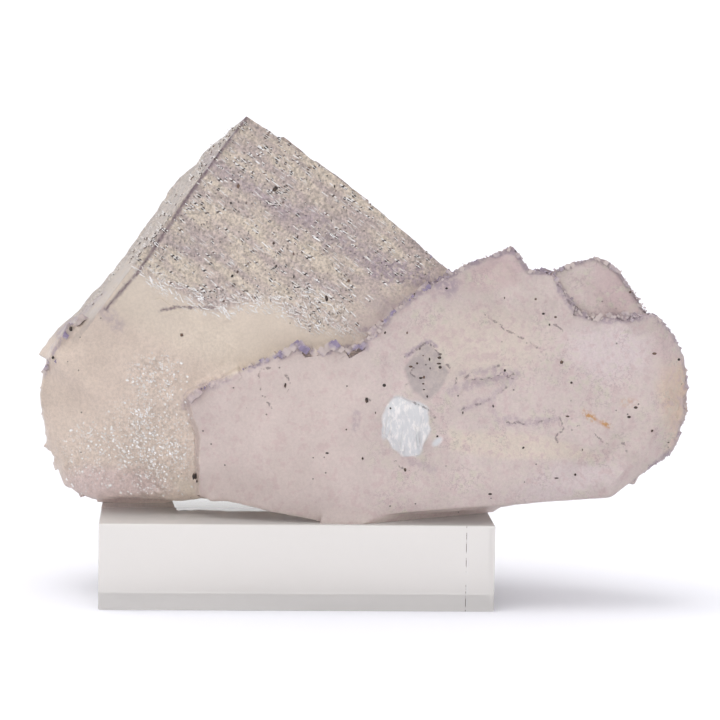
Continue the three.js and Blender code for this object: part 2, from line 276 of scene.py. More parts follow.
def cut_long_edges(points, triangles, limit):
    """Cuts every edge that is longer than limit allows at its middle, once."""
    sides = np.stack([triangles, np.roll(triangles, -1, axis=1)], axis=2)
    edges, index = np.unique(np.sort(sides.reshape(-1, 2), axis=1), axis=0, return_inverse=True)
    index = index.reshape(-1, 3)
    ends = points[edges]
    middles = ends.mean(axis=1)
    long = np.linalg.norm(ends[:, 0] - ends[:, 1], axis=1) > limit(middles)
    if not long.any():
        return points, triangles, False
    new_index = np.full(len(edges), -1)
    new_index[long] = len(points) + np.arange(long.sum())
    points = np.vstack([points, middles[long]])
    made = []
    cut = new_index[index]
    count = (cut >= 0).sum(axis=1)
    made.append(triangles[count == 0])
    for turn in range(3):
        tri = np.roll(triangles, -turn, axis=1)
        mid = np.roll(cut, -turn, axis=1)
        one = (count == 1) & (mid[:, 0] >= 0)
        made.append(np.column_stack([tri[one, 0], mid[one, 0], tri[one, 2]]))
        made.append(np.column_stack([mid[one, 0], tri[one, 1], tri[one, 2]]))
        two = (count == 2) & (mid[:, 2] < 0)
        made.append(np.column_stack([mid[two, 0], tri[two, 1], mid[two, 1]]))
        made.append(np.column_stack([tri[two, 0], mid[two, 0], mid[two, 1]]))
        made.append(np.column_stack([tri[two, 0], mid[two, 1], tri[two, 2]]))
    three = count == 3
    tri, mid = triangles[three], cut[three]
    made.append(np.column_stack([tri[:, 0], mid[:, 0], mid[:, 2]]))
    made.append(np.column_stack([mid[:, 0], tri[:, 1], mid[:, 1]]))
    made.append(np.column_stack([mid[:, 2], mid[:, 1], tri[:, 2]]))
    made.append(np.column_stack([mid[:, 0], mid[:, 1], mid[:, 2]]))
    return points, np.vstack(made), True


def tidy_triangles(points, triangles):
    """Swaps edges inside flat faces for better-shaped triangles."""
    work = bmesh.new()
    work.from_mesh(mesh_from("cut", points, triangles))
    bpy.data.meshes.remove(bpy.data.meshes["cut"])
    flat = [e for e in work.edges if len(e.link_faces) == 2 and e.calc_face_angle() < 0.004]
    bmesh.ops.beautify_fill(work, faces=work.faces[:], edges=flat, method="ANGLE")
    points, triangles = mesh_arrays(work)
    work.free()
    return points, triangles


def refine(points, triangles, limit):
    """Cuts a mesh finer, from coarse to fine, keeping its flat faces and sharp edges."""
    for coarser in (12, 5, 2.2, 1):
        more = True
        while more:
            points, triangles, more = cut_long_edges(points, triangles, lambda p: coarser * limit(p))
        points, triangles = tidy_triangles(points, triangles)
    return points, triangles


def point_normals(points, triangles):
    """The normal at each point, each face weighing by its area."""
    corner = points[triangles]
    across = np.cross(corner[:, 1] - corner[:, 0], corner[:, 2] - corner[:, 0])
    total = np.zeros_like(points)
    for i in range(3):
        np.add.at(total, triangles[:, i], across)
    return total / np.maximum(np.linalg.norm(total, axis=1, keepdims=True), 1e-12)


def store(mesh, name, values):
    """Keeps a number for each point of a mesh, for its material."""
    mesh.attributes.new(name, "FLOAT", "POINT").data.foreach_set("value", values.astype(np.float32))


def piece(name, mesh, body="root"):
    """An object of the finished part, riding on its body."""
    made = bpy.data.objects.new(name, mesh)
    bpy.context.scene.collection.objects.link(made)
    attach(made, body)
    return made


# Material helpers

# Nodes that come up often: the kind, and what is set on it
ADD = ("ShaderNodeMath", {"operation": "ADD"})
SUBTRACT = ("ShaderNodeMath", {"operation": "SUBTRACT"})
MULTIPLY = ("ShaderNodeMath", {"operation": "MULTIPLY"})
MAXIMUM = ("ShaderNodeMath", {"operation": "MAXIMUM"})
ABSOLUTE = ("ShaderNodeMath", {"operation": "ABSOLUTE"})
LESS_THAN = ("ShaderNodeMath", {"operation": "LESS_THAN"})
SMOOTH = ("ShaderNodeMapRange", {"interpolation_type": "SMOOTHSTEP"})
COAT = ("ShaderNodeMix", {"data_type": "RGBA", "blend_type": "MIX"})
GLAZE = ("ShaderNodeMix", {"data_type": "RGBA", "blend_type": "MULTIPLY"})
NOISE = ("ShaderNodeTexNoise", {})
STRETCH = ("ShaderNodeMapping", {})


def new_material(name):
    """A material with an empty node tree and its output."""
    material = bpy.data.materials.new(name)
    material.use_nodes = True
    material.node_tree.nodes.clear()
    return material, material.node_tree


def add(tree, kind, inputs=None, **settings):
    """One node, of a kind or a preset; its inputs are numbers, or nodes or sockets to link."""
    kind, preset = kind if isinstance(kind, tuple) else (kind, {})
    settings = {**preset, **settings}
    made = tree.nodes.new(kind)
    for name, value in settings.items():
        setattr(made, name, value)
    for name, value in (inputs or {}).items():
        if isinstance(value, bpy.types.Node):
            value = value.outputs[0]
        if isinstance(value, bpy.types.NodeSocket):
            tree.links.new(value, made.inputs[name])
        else:
            made.inputs[name].default_value = value
    return made


def opaque(linear):
    """A colour with its fourth number."""
    return (*linear, 1.0)


# The stone

LILAC_OUTLINE = [
    (-15.7, 3.4), (-15.3, 7.1), (-15.1, 12.5), (-16.3, 15.6), (-16.7, 18), (-15, 19.5), (-13.7, 20.2),
    (-10.9, 20.9), (-8.2, 22.4), (-5.4, 23.5), (-3.7, 24.5), (-0.1, 25.4), (3.8, 24.6), (5, 25.6),
    (7.3, 24.6), (9.6, 25.6), (9.6, 26.9), (11.9, 28.2), (13.4, 30.4), (15, 31.8), (17.1, 33.5),
    (19.7, 34.9), (22.5, 36.7), (25.2, 38.1), (30, 42), (48, 42), (60, 30), (60, 5), (40, -3), (0, -3),
    (-12, 0),
]
ROUGH_EDGE = [
    (-24.6, 37.2), (-20.2, 35), (-15, 32), (-12.7, 31.4), (-7, 32.4), (-3, 32), (-1, 30), (1.4, 28.2),
    (5.2, 29), (7.4, 27.6), (30, 44), (-8, 64), (-30, 40),
]
LOWER_ROUGH = [
    (-23.6, 36.6), (-20, 34.6), (-15.6, 32.6), (-12, 31.9), (-3.4, 32.4), (1, 29.4), (5, 28.9), (8, 28.4),
]
CRUSHED_PATCH = [
    (12.9, 17.2), (13.7, 18.1), (14.9, 18.3), (16, 17.7), (18.4, 16.8), (19.4, 15.6), (19.4, 13.4),
    (18.7, 11.9), (17.8, 9.6), (16.5, 9.4), (15.4, 9.5), (14.1, 10), (13.2, 11.1), (12.4, 12.6),
    (12, 14.3), (12.3, 15.6),
]
WINDOW = [(15.2, 22.4), (18.1, 26.6), (20, 25.8), (22.5, 22.2), (20.7, 19), (18.6, 17.4), (16.6, 19.2)]
LENS = [
    (24.7, 20.9), (26.7, 20.8), (27.9, 21.4), (29.7, 21.4), (31.3, 21.3), (30.9, 20), (29.3, 18.4),
    (26.7, 17.4), (24.1, 16.4), (23.5, 18.6),
]
YELLOW_BAND = [(21.6, 13.6), (30, 13.4), (37, 12), (45, 9.4), (44.4, 8.4), (38, 8.9), (30, 9.4), (22.4, 11)]

# Where violet gathers: a path, how wide it is, and how strong
VIOLET_TRACES = [
    ([(15, 31.8), (18, 34), (22.9, 36.6), (25.2, 38), (30.7, 40.1)], 0.7, 0.8),
    ([(30.7, 40.1), (32.1, 39.8), (34.2, 37), (37.9, 36.6)], 0.7, 0.8),
    ([(37.9, 37.2), (41, 38.2), (44.2, 39), (47.4, 37.1), (50.2, 33.1), (52, 30.6)], 0.7, 0.7),
    ([(53, 30.4), (55.6, 27.6), (57.1, 25), (57.8, 21.6), (57.4, 16), (56, 10.6), (52.4, 7.8)], 0.6, 0.6),
    ([(38.3, 35), (39.9, 32.4), (41.6, 30.6), (45.4, 29.6), (51, 30.2)], 0.8, 0.8),
    ([(22.6, 19.4), (26, 20.4), (29.6, 21.2), (32, 21.8)], 1.2, 0.55),
    ([(24, 16.3), (28.4, 18), (31.8, 21.2)], 0.8, 0.5), ([(30.6, 14.8), (34, 14.4), (38, 15)], 0.9, 0.5),
    ([(-13.5, 53.5), (-9, 50.6), (-3, 47.6)], 2.4, 0.55),
    ([(-4, 47.6), (2, 44), (7.4, 41), (13, 37.6)], 3.0, 0.6),
    ([(12, 37.6), (17, 36.6), (21.5, 35)], 2.4, 0.85),
    ([(-18.5, 41.4), (-12.5, 39.8)], 2.0, 0.4),
    ([(2, 36), (8, 34.5), (14, 32)], 1.8, 0.3),
    ([(-16.9, 17.4), (-15, 19.3), (-10.9, 20.8)], 1.1, 0.5),
    ([(-7.4, 22.6), (-5, 23.6)], 0.7, 0.9),
    ([(-3, 24.2), (-1.6, 24.8)], 0.8, 0.9),
    ([(-0.6, 25.3), (1.4, 25.2)], 0.9, 1.0),
    ([(3.4, 24.8), (4.6, 25.1)], 0.8, 1.0),
    ([(6, 25.4), (9.6, 25.6)], 0.8, 0.9),
    ([(9.6, 26.2), (13, 29.6)], 0.7, 0.6),
    ([(13.4, 30.6), (16.4, 32.6), (22.9, 36.6)], 0.6, 0.45),
    ([(38.6, 34.6), (41, 31.4), (42.4, 30.2)], 0.5, 0.35),
    ([(42.4, 30), (45, 29.9), (47.1, 30.4), (51.4, 30.2)], 0.55, 0.55),
    ([(-36.6, 27.4), (-35.4, 28.9), (-33.4, 29.9)], 0.9, 0.9),
    ([(-37.6, 25), (-36.2, 26.8)], 0.8, 0.8),
    ([(-39.8, 21.8), (-38.4, 23.6)], 0.7, 0.7),
    ([(-33.4, 30.4), (-29.6, 34)], 0.5, 0.5),
    ([(-29.3, 30.9), (-27.1, 28.8)], 1.5, 0.45),
    ([(15.8, 24.4), (17.6, 25.8), (18.9, 26.6), (20.2, 25.8)], 0.45, 0.9),
    ([(23.6, 21.6), (26.4, 22), (29.6, 22.6)], 0.8, 0.5),
    ([(29.6, 21.4), (31.8, 22)], 0.5, 0.8),
    ([(9, 28.2), (11.4, 28.4)], 0.6, 0.7),
    ([(8.4, 15.8), (8.2, 13.6)], 0.7, 0.45),
    ([(28.6, 16.6), (29.6, 14.6)], 0.8, 0.35),
    ([(16.4, 8.6), (20, 7.4)], 0.8, 0.35),
]

# Fine cracks and etched lines of the front
HAIRLINES = [
    [(-8.1, 59.9), (-9.6, 58), (-12.7, 53.8), (-16.5, 48.5), (-20.7, 42.1), (-24.1, 37), (-29.2, 31.2)],
    [(-21, 31.1), (-18.8, 31.6), (-16, 31.6), (-13, 31.5)],
    [(-18.1, 27.8), (-17.5, 27.2)],
    [(27.5, 30.4), (29.4, 29.2), (30.6, 28.2), (33, 27), (35.5, 25.5)],
    [(37.7, 29.1), (38.9, 28.4), (39.4, 27), (39.8, 26.6)],
    [(38.3, 35), (39.3, 33.6), (39.9, 32.4), (41.3, 31.6), (41.6, 30.4), (43.2, 29.7), (44.4, 30.2),
     (45.4, 29.4), (46.8, 30.3), (48, 29.5), (49.4, 30.1)],
    [(24, 16.3), (25.2, 17), (26.6, 17.2), (28.4, 18), (29.8, 18.9), (30.6, 19.7), (31.2, 20.8), (31.8, 21.2)],
    [(24.2, 20.7), (25.2, 21.7), (26.4, 22.4)],
    [(25.2, 20.6), (26.4, 21), (27.4, 20.8), (27.9, 21.3), (28.6, 20.9)],
    [(28.4, 22.4), (29.5, 22.9)], [(29, 21.2), (30.2, 21.9), (31, 21.1), (31.9, 21.8)],
    [(23.1, 21.4), (23.2, 20.2)],
    [(30.6, 14.6), (31.4, 14.2), (32.4, 14.6), (33.2, 14.2), (34.4, 14.9), (35.4, 14.5), (37, 15),
     (37.9, 14.7)],
    [(38.6, 15.2), (39.2, 13.4), (38, 12.4), (38.4, 11)],
    [(40, 13), (41.6, 14.2), (42.6, 13.2), (43.8, 13.4)],
    [(43.9, 12.8), (45.1, 11.4), (46.2, 11.1), (46.8, 11.6), (48.2, 11.4), (48.6, 10.2)],
    [(-6.2, 21), (-5.8, 22.4), (-4.4, 22.6)], [(-2.2, 21.6), (-1.5, 20.4), (-1.9, 18.9)],
    [(-6, 19.8), (-5.6, 18.4), (-4.4, 17.9)],
    [(-5.4, 17.8), (-4.7, 17.4), (-4.2, 16.7)],
    [(-4.7, 17.4), (-3.8, 17.7)],
    [(9.2, 17.9), (10.4, 17.8)],
    [(16.9, 17.4), (18, 16.9), (19.2, 16.4), (20, 15.2)], [(14, 8.8), (15, 7.8), (16.2, 7.3)],
    [(15.6, 24.3), (16.4, 24.6), (17.8, 25.7), (18.8, 26.4), (19.8, 25.8), (20, 25)],
    [(20.2, 25.2), (22.2, 22.6)],
    [(16.9, 22.6), (16.2, 21.8), (17, 21.2)], [(16, 20.4), (15.4, 19.8), (16.2, 19.2)],
]


def cube_space(place):
    """Stone points turned so that the tall cube's edges run level and upright."""
    slope = math.radians(CUBE_SLOPE)
    x, z = place[:, 0] - CUBE_CORNER[0], place[:, 2] - CUBE_CORNER[1]
    return np.column_stack([
        x * math.cos(slope) - z * math.sin(slope), place[:, 1], x * math.sin(slope) + z * math.cos(slope),
    ])


def stone_masks(place, normal):
    """What each point of the stone shows: the share of each colour and finish there."""
    flat = place[:, [0, 2]]
    wave = 1.1 * drift(place, (6, 6, 6), 1) + 0.5 * drift(place, (2.2, 2.2, 2.2), 2)
    ripple = drift(place, (1.1, 1.1, 1.1), 15)
    warped = flat + 0.7 * np.column_stack([wave, drift(place, (5, 5, 5), 3)])
    front = ramp(11, 6, place[:, 1]) * ramp(0.35, -0.2, normal[:, 1])
    lilac = ramp(-0.3, 0.3, depth_inside(flat, LILAC_OUTLINE)) * ramp(14, 9, place[:, 1])
    lilac = np.maximum(lilac, ramp(2, 16, flat[:, 0] + 4 * wave) * ramp(38, 30, flat[:, 1]))
    cube = 1 - lilac
    rough = ramp(-0.8, 0.8, depth_inside(warped, ROUGH_EDGE)) * cube
    rough = np.maximum(rough, (1 - front) * ramp(28, 34, flat[:, 1]) * cube)
    sugar = np.maximum(oval(warped, (-22.5, 11), (9, 11)), oval(warped, (-21.8, 21), (5.4, 5.4)))
    sugar = np.maximum(sugar, 0.6 * oval(warped, (-31, 9), (8, 7))) * cube
    broken = ramp(-8, -12, flat[:, 0] + 0.3 * wave) * ramp(33, 25, flat[:, 1] + wave) * cube
    honey = np.maximum((1 - rough) * cube * ramp(22, 27, flat[:, 1] + 0.5 * flat[:, 0] + 8), 0)
    honey = np.maximum(honey, ramp(-0.7, 0.7, depth_inside(warped, YELLOW_BAND)) * front)
    honey = np.maximum(honey, oval(flat, (-17.4, 4.6), (3, 1.5), -35) * cube)
    honey = np.maximum(honey, 0.6 * oval(warped, (27, 26), (14, 8)) * lilac)
    # Where the painted glints crowd, and the flakes too: along the lower edge of the etched face, and in one
    # patch beside it.
    glitter = ramp(2.2, 0.4, path_gap(warped, LOWER_ROUGH)) * cube
    glitter = np.maximum(glitter, oval(warped, (3.5, 31.5), (7, 4), -40) * cube)
    crush = ramp(-0.2, 0.25, depth_inside(flat + 0.5 * ripple[:, None], CRUSHED_PATCH)) * front
    crush = np.maximum(crush, oval(flat, (20.4, 11.6), (1.3, 0.7), 40) * front)
    rust = np.maximum(oval(flat, (43.1, 15.4), (1.9, 0.8), -40), oval(flat, (45.5, 14.2), (1.5, 0.6), -30))
    rust = rust * front
    rust = np.maximum(rust, 0.4 * oval(flat, (48.8, 17.4), (2, 1)) * front)
    # The right end, where the colour is lifted lighter as painted light against the shade that the surface
    # turns into.
    lightened_end = ramp(52.5, 57, flat[:, 0] + 1.5 * wave) * ramp(26, 21, flat[:, 1])
    blush = np.maximum(oval(warped, (48, 34.6), (7, 6)), oval(warped, (29, 37), (8, 3.5), 20))
    blush = np.maximum(blush, 0.6 * oval(warped, (54, 25), (3, 5)))
    blush = np.maximum(blush, 0.7 * oval(warped, (-29, 4.5), (12, 4.5)))
    pale = np.maximum(oval(warped, (46, 25), (9, 6)), oval(warped, (40, 5.5), (12, 4), 12)) * lilac
    window = ramp(-0.15, 0.45, depth_inside(flat + 0.3 * ripple[:, None], WINDOW)) * front
    lens = ramp(0, 0.6, depth_inside(flat, LENS)) * front
    slope = math.radians(CUBE_SLOPE)
    facing_left = normal[:, 2] * math.sin(slope) - normal[:, 0] * math.cos(slope)
    flank = ramp(0.35, 0.75, facing_left) * ramp(25, 30, flat[:, 1]) * cube
    gap = np.minimum(path_gap(flat, HAIRLINES[0]), path_gap(flat, HAIRLINES[1]) + 0.12)
    rim = ramp(0.42, 0.1, gap + 0.08 * ripple) * front
    violet = np.zeros(len(place))
    for path, width, amount in VIOLET_TRACES:
        gap = path_gap(warped if width > 1.6 else flat, path) + 0.3 * width * ripple
        violet = np.maximum(violet, amount * ramp(width, 0.35 * width, gap))
    violet *= np.maximum(front, ramp(0.3, -0.2, normal[:, 1]))
    patch = ramp(-0.1, 0.5, drift(place, (3, 3, 3), 22))
    veined = lilac * front * ramp(7, 14, flat[:, 0]) * (0.35 + 0.65 * patch)
    speckled = front * np.maximum(rough * (0.25 + 0.75 * patch), np.maximum(0.008 * lilac, 0.03 * veined))
    speckled = np.maximum(speckled, 0.4 * window) * (1 - crush)
    flaky = front * np.maximum(1.2 * rough * (0.3 + 0.7 * patch), 2.4 * glitter)
    clumps = ramp(-0.25, 0.45, drift(place, (2.2, 2.2, 2.2), 23))
    grainy = front * sugar * (0.15 + 0.85 * clumps)
    turning = ramp(-0.8, -0.35, normal[:, 1]) * ramp(11, 7, place[:, 1])
    edge = turning * lilac * ramp(4.5, 7, flat[:, 1])
    crusted = ramp(-0.6, -0.2, normal[:, 1]) * ramp(7, 5.4, place[:, 1]) * ramp(5, 8, flat[:, 1])
    crusted *= 0.5 + 0.5 * patch
    crusted *= np.maximum(ramp(17, 24, flat[:, 0]), 0.5 * ramp(-33, -36, flat[:, 0])) * (1 - crush)
    return {
        "lilac": lilac, "rough": rough, "sugar": sugar, "broken": broken, "honey": honey, "crush": crush,
        "rust": rust, "lightened_end": lightened_end, "violet": violet, "window": window, "glitter": glitter, "blush": blush,
        "pale": pale, "lens": lens, "flank": flank, "rim": rim, "speckled": speckled, "flaky": flaky,
        "wild": 0.35 * glitter, "grainy": grainy, "veined": veined, "edge": edge, "crusted": crusted,
    }


def smoothed(points, triangles, amount, rounds):
    """Points eased towards their neighbours' middle, as far as amount says at each."""
    ends = np.vstack([triangles[:, [0, 1]], triangles[:, [1, 2]], triangles[:, [2, 0]]])
    count = np.maximum(np.bincount(ends[:, 0], minlength=len(points)), 1)
    for _ in range(rounds):
        middle = np.column_stack([
            np.bincount(ends[:, 0], points[ends[:, 1], i], minlength=len(points)) / count for i in range(3)
        ])
        points = points + 0.7 * amount[:, None] * (middle - points)
    return points


def stone_relief(place, masks, settings):
    """How far each point of the stone stands out from the CAD faces, in millimetres."""
    turned = cube_space(place)
    bent = turned + 0.5 * np.column_stack([drift(place, (3, 3, 3), seed) for seed in (5, 16, 17)])
    step = settings.step_height / MM
    relief = masks["rough"] * step * (
        blocks(bent, (3.6, 9, 1.5), 6) + 0.6 * blocks(bent, (1.5, 5, 0.6), 8) - 0.8
        + 0.5 * drift(turned, (0.9, 2, 0.5), 18)
    )
    sugar = settings.sugar_height / MM
    lumps = blocks(bent, (1.9, 1.9, 1.5), 10)
    crumbs = drift(place, (0.85, 0.85, 0.85), 11)
    swell = drift(place, (4.5, 4.5, 4.5), 19)
    relief += masks["broken"] * (0.55 * swell + 0.12 * crumbs)
    relief += masks["sugar"] * sugar * (0.5 * lumps + 0.6 * crumbs - 0.25)
    relief += masks["lilac"] * 0.04 * (drift(place, (3.4, 3.4, 3.4), 12) + drift(place, (1.3, 1.3, 1.3), 13))
    relief += masks["lightened_end"] * (0.25 * lumps + 0.2 * crumbs)
    relief += masks["crush"] * 0.16 * drift(place * np.array([1, 1, 0.3]), (0.6, 0.6, 0.6), 14)
    relief -= masks["lens"] * 0.22
    relief += ramp(7, 12, place[:, 1]) * 0.3 * (blocks(bent, (4.5, 4.5, 4.5), 20) + 0.5 * lumps - 0.75)
    return relief


def build_stone(settings):
    """The stone's mesh, cut fine, with its growth relief and the numbers that its material reads."""
    points, triangles = merged_node("fluorite_cluster")
    place = stone_space(points)
    fine, wide = settings.front_grain / MM, settings.back_grain / MM
    place, triangles = refine(place, triangles, lambda p: fine + (wide - fine) * ramp(5, 12, p[:, 1]))
    normal = point_normals(place, triangles)
    masks = stone_masks(place, normal)
    flat = place[:, [0, 2]]
    free = frame_space(place)[:, 2] / MM - SEAT
    free = ramp(0.3, 1.6, free)
    soft = masks["broken"] * ramp(14, 9, place[:, 1]) * free
    place = smoothed(place, triangles, soft, 60)
    rim = np.maximum(ramp(48, 52, flat[:, 0]), ramp(6, 4, flat[:, 1])) * masks["lilac"] * free
    place = smoothed(place, triangles, rim, 14)
    normal = point_normals(place, triangles)
    place = place + normal * (stone_relief(place, masks, settings) * free)[:, None]

    mesh = mesh_from("fluorite_stone", frame_space(place), triangles)
    for name, values in masks.items():
        store(mesh, name, values)
    lines = np.full(len(place), 9.0)
    for path in HAIRLINES:
        lines = np.minimum(lines, path_gap(flat, path))
    store(mesh, "hairline", np.where(normal[:, 1] < 0.2, lines, 9.0))
    mesh.shade_smooth()
    mesh.set_sharp_from_angle(angle=math.radians(26))
    return mesh


def fluorite_material(settings):
    """Fluorite, as grown and etched by solution: frosted, translucent, with bruised and sugary parts."""
    material, tree = new_material("Fluorite, frosted growth faces")
    inverse = STONE_AXES.inverted()
    spot = add(tree, "ShaderNodeTexCoord").outputs["Object"]
    mm = add(tree, "ShaderNodeMapping", {
        "Vector": spot, "Scale": (1 / MM,) * 3, "Rotation": inverse.to_euler(),
        "Location": -(inverse @ STONE_ORIGIN),
    })
    along = add(tree, "ShaderNodeMapping", {"Vector": mm, "Rotation": (0, math.radians(-CUBE_SLOPE), 0)})

    def mask(name, amount=1.0):
        share = add(tree, "ShaderNodeAttribute", attribute_name=name).outputs["Fac"]
        return share if amount == 1.0 else add(tree, MULTIPLY, {0: share, 1: amount}).outputs[0]

    def times(*values):
        total = values[0]
        for value in values[1:]:
            total = add(tree, MULTIPLY, {0: total, 1: value})
        return total

    def dots(vector, radius, share):
        """Round spots of a radius in cells, in a share of the cells."""
        cells = add(tree, "ShaderNodeTexVoronoi", {"Vector": vector, "Scale": 1.0, "Randomness": 1.0})
        chance = add(tree, "ShaderNodeSeparateColor", {"Color": cells.outputs["Color"]})
        near = add(tree, LESS_THAN, {0: chance, 1: share})
        return times(near, add(tree, SMOOTH, {
            0: cells.outputs["Distance"], 1: 0.55 * radius, 2: radius, 3: 1.0, 4: 0.0,
        }))

    broad = add(tree, NOISE, {"Vector": mm, "Scale": 0.14, "Detail": 4, "Roughness": 0.6})
    mottle = add(tree, NOISE, {"Vector": along, "Scale": 0.6, "Detail": 5, "Roughness": 0.65})
    layered = add(tree, NOISE, {
        "Vector": add(tree, STRETCH, {
            "Vector": along, "Scale": (0.12, 0.3, 0.45),
        }), "Scale": 1.0, "Detail": 4, "Roughness": 0.6,
    })
    grain = add(tree, NOISE, {"Vector": mm, "Scale": 2.4, "Detail": 4, "Roughness": 0.75})

    # Body colours
    body = add(tree, COAT, {
        0: mask("honey"), 6: opaque(colour("#E0CFC1")), 7: opaque(settings.honey),
    }).outputs[2]
    body = add(tree, COAT, {0: mask("lilac"), 6: body, 7: opaque(settings.lilac)}).outputs[2]
    body = add(tree, COAT, {
        0: times(mask("lilac"), mask("honey", 0.8)), 6: body, 7: opaque(settings.honey),
    }).outputs[2]
    body = add(tree, COAT, {0: mask("blush"), 6: body, 7: opaque(settings.blush)}).outputs[2]
    body = add(tree, COAT, {0: mask("pale", 0.8), 6: body, 7: opaque(colour("#DED0D0"))}).outputs[2]
    etched = add(tree, COAT, {
        0: add(tree, SMOOTH, {
            0: layered, 1: 0.38, 2: 0.62,
        }), 6: opaque(settings.smoke), 7: opaque(settings.sand),
    }).outputs[2]
    body = add(tree, COAT, {0: mask("rough"), 6: body, 7: etched}).outputs[2]
    # Right end in its tan tone, lightened as painted light where the surface turns into shade.
    body = add(tree, COAT, {0: mask("lightened_end"), 6: body, 7: opaque(settings.lightened_end)}).outputs[2]
    flank = add(tree, COAT, {
        0: add(tree, SMOOTH, {
            0: mottle, 1: 0.35, 2: 0.65,
        }), 6: opaque(colour("#B5ABA6")), 7: opaque(colour("#C9BDB2")),
    }).outputs[2]
    body = add(tree, COAT, {0: mask("flank", 0.85), 6: body, 7: flank}).outputs[2]
    clouds = add(tree, NOISE, {"Vector": mm, "Scale": 0.8, "Detail": 4, "Roughness": 0.6})
    pinker = times(mask("lilac"), add(tree, SMOOTH, {0: clouds, 1: 0.5, 2: 0.64, 3: 0.0, 4: 0.7}))
    body = add(tree, COAT, {0: pinker, 6: body, 7: opaque(settings.blush)}).outputs[2]
    olive = times(mask("veined"), add(tree, SMOOTH, {0: clouds, 1: 0.36, 2: 0.52, 3: 0.85, 4: 0.0}))
    body = add(tree, COAT, {0: olive, 6: body, 7: opaque(colour("#D2CBBC"))}).outputs[2]
    greyer = times(mask("window", 0.9), add(tree, SMOOTH, {0: clouds, 1: 0.3, 2: 0.6, 3: 0.35, 4: 1.0}))
    body = add(tree, COAT, {0: greyer, 6: body, 7: opaque(colour("#B0A7A5"))}).outputs[2]
    web = add(tree, ABSOLUTE, {
        0: add(tree, SUBTRACT, {
            0: add(tree, NOISE, {"Vector": mm, "Scale": 0.55, "Detail": 5, "Roughness": 0.7}), 1: 0.5,
        }),
    })
    web = times(add(tree, SMOOTH, {0: web, 1: 0.004, 2: 0.02, 3: 0.5, 4: 0.0}), mask("veined"))
    body = add(tree, COAT, {
        0: add(tree, MAXIMUM, {0: web, 1: mask("edge", 0.5)}), 6: body, 7: opaque(colour("#9A858C")),
    }).outputs[2]
    violet = times(mask("violet"), add(tree, SMOOTH, {
        0: add(tree, NOISE, {
            "Vector": mm, "Scale": 1.6, "Detail": 4, "Roughness": 0.7,
        }), 1: 0.4, 2: 0.55, 3: 0.3, 4: 1.0,
    }))
    body = add(tree, COAT, {0: violet, 6: body, 7: opaque(settings.violet)}).outputs[2]
    body = add(tree, GLAZE, {
        0: 1.0, 6: body, 7: add(tree, SMOOTH, {0: broad, 1: 0.3, 2: 0.7, 3: 0.95, 4: 1.05}),
    }).outputs[2]

    # Frost: strong on the etched face, lighter on the sugary growth, and only a breath on the smooth faces
    frosting = add(tree, ADD, {0: mask("rough", 0.8), 1: mask("sugar", 0.35)})
    frosting = add(tree, ADD, {0: frosting, 1: mask("broken", 0.12)})
    frosting = add(tree, ADD, {0: frosting, 1: 0.14}, use_clamp=True)
    speckled = add(tree, GLAZE, {
        0: 1.0, 6: body, 7: add(tree, SMOOTH, {0: grain, 1: 0.3, 2: 0.7, 3: 0.5, 4: 1.4}),
    }).outputs[2]
    body = add(tree, COAT, {0: frosting, 6: body, 7: speckled}).outputs[2]

    # Painted highlights: white glint dashes on the growth steps of the etched face, in line with the cube's
    # edge: about 1.3 mm long and 0.2 mm high
    glint_streaks = dots(add(tree, STRETCH, {"Vector": along, "Scale": (0.6, 1.2, 5.2)}), 0.42, 0.4)
    patchy = add(tree, SMOOTH, {
        0: add(tree, NOISE, {"Vector": mm, "Scale": 0.35, "Detail": 2, "Roughness": 0.5}), 1: 0.42, 2: 0.62,
    })
    glint_dashes = times(glint_streaks, add(tree, MAXIMUM, {0: times(mask("rough"), patchy), 1: mask("glitter")}))
    # Painted highlights: white glint dots on the sugary growth and the glittering band. The dashes and the
    # dots go on in the chalk colour below.
    sparks = times(dots(add(tree, STRETCH, {
        "Vector": mm, "Scale": (2.9, 2.9, 2.9),
    }), 0.55, 0.5), add(tree, SMOOTH, {0: mottle, 1: 0.4, 2: 0.56}))
    sparkle = times(sparks, add(tree, MAXIMUM, {0: mask("sugar"), 1: mask("glitter")}))
    bright = add(tree, MAXIMUM, {0: glint_dashes, 1: sparkle})
    body = add(tree, COAT, {0: times(bright, 0.95), 6: body, 7: opaque(settings.chalk_and_glint)}).outputs[2]

    # Crushed patch: bluish, with upright white fibres about 0.3 mm wide
    fibre = add(tree, SMOOTH, {
        0: add(tree, NOISE, {
            "Vector": add(tree, STRETCH, {
                "Vector": mm, "Scale": (1.5, 1.5, 0.55),
            }), "Scale": 1.0, "Detail": 5, "Roughness": 0.7,
        }), 1: 0.46, 2: 0.62,
    })
    crushed = add(tree, COAT, {0: fibre, 6: opaque(colour("#DEE1E4")), 7: opaque(settings.chalk_and_glint)}).outputs[2]
    body = add(tree, COAT, {0: mask("crush"), 6: body, 7: crushed}).outputs[2]
    stain = times(mask("rust"), add(tree, SMOOTH, {
        0: add(tree, NOISE, {"Vector": mm, "Scale": 1.6, "Detail": 3, "Roughness": 0.7}), 1: 0.4, 2: 0.6,
    }))
    body = add(tree, COAT, {0: stain, 6: body, 7: opaque(settings.rust)}).outputs[2]

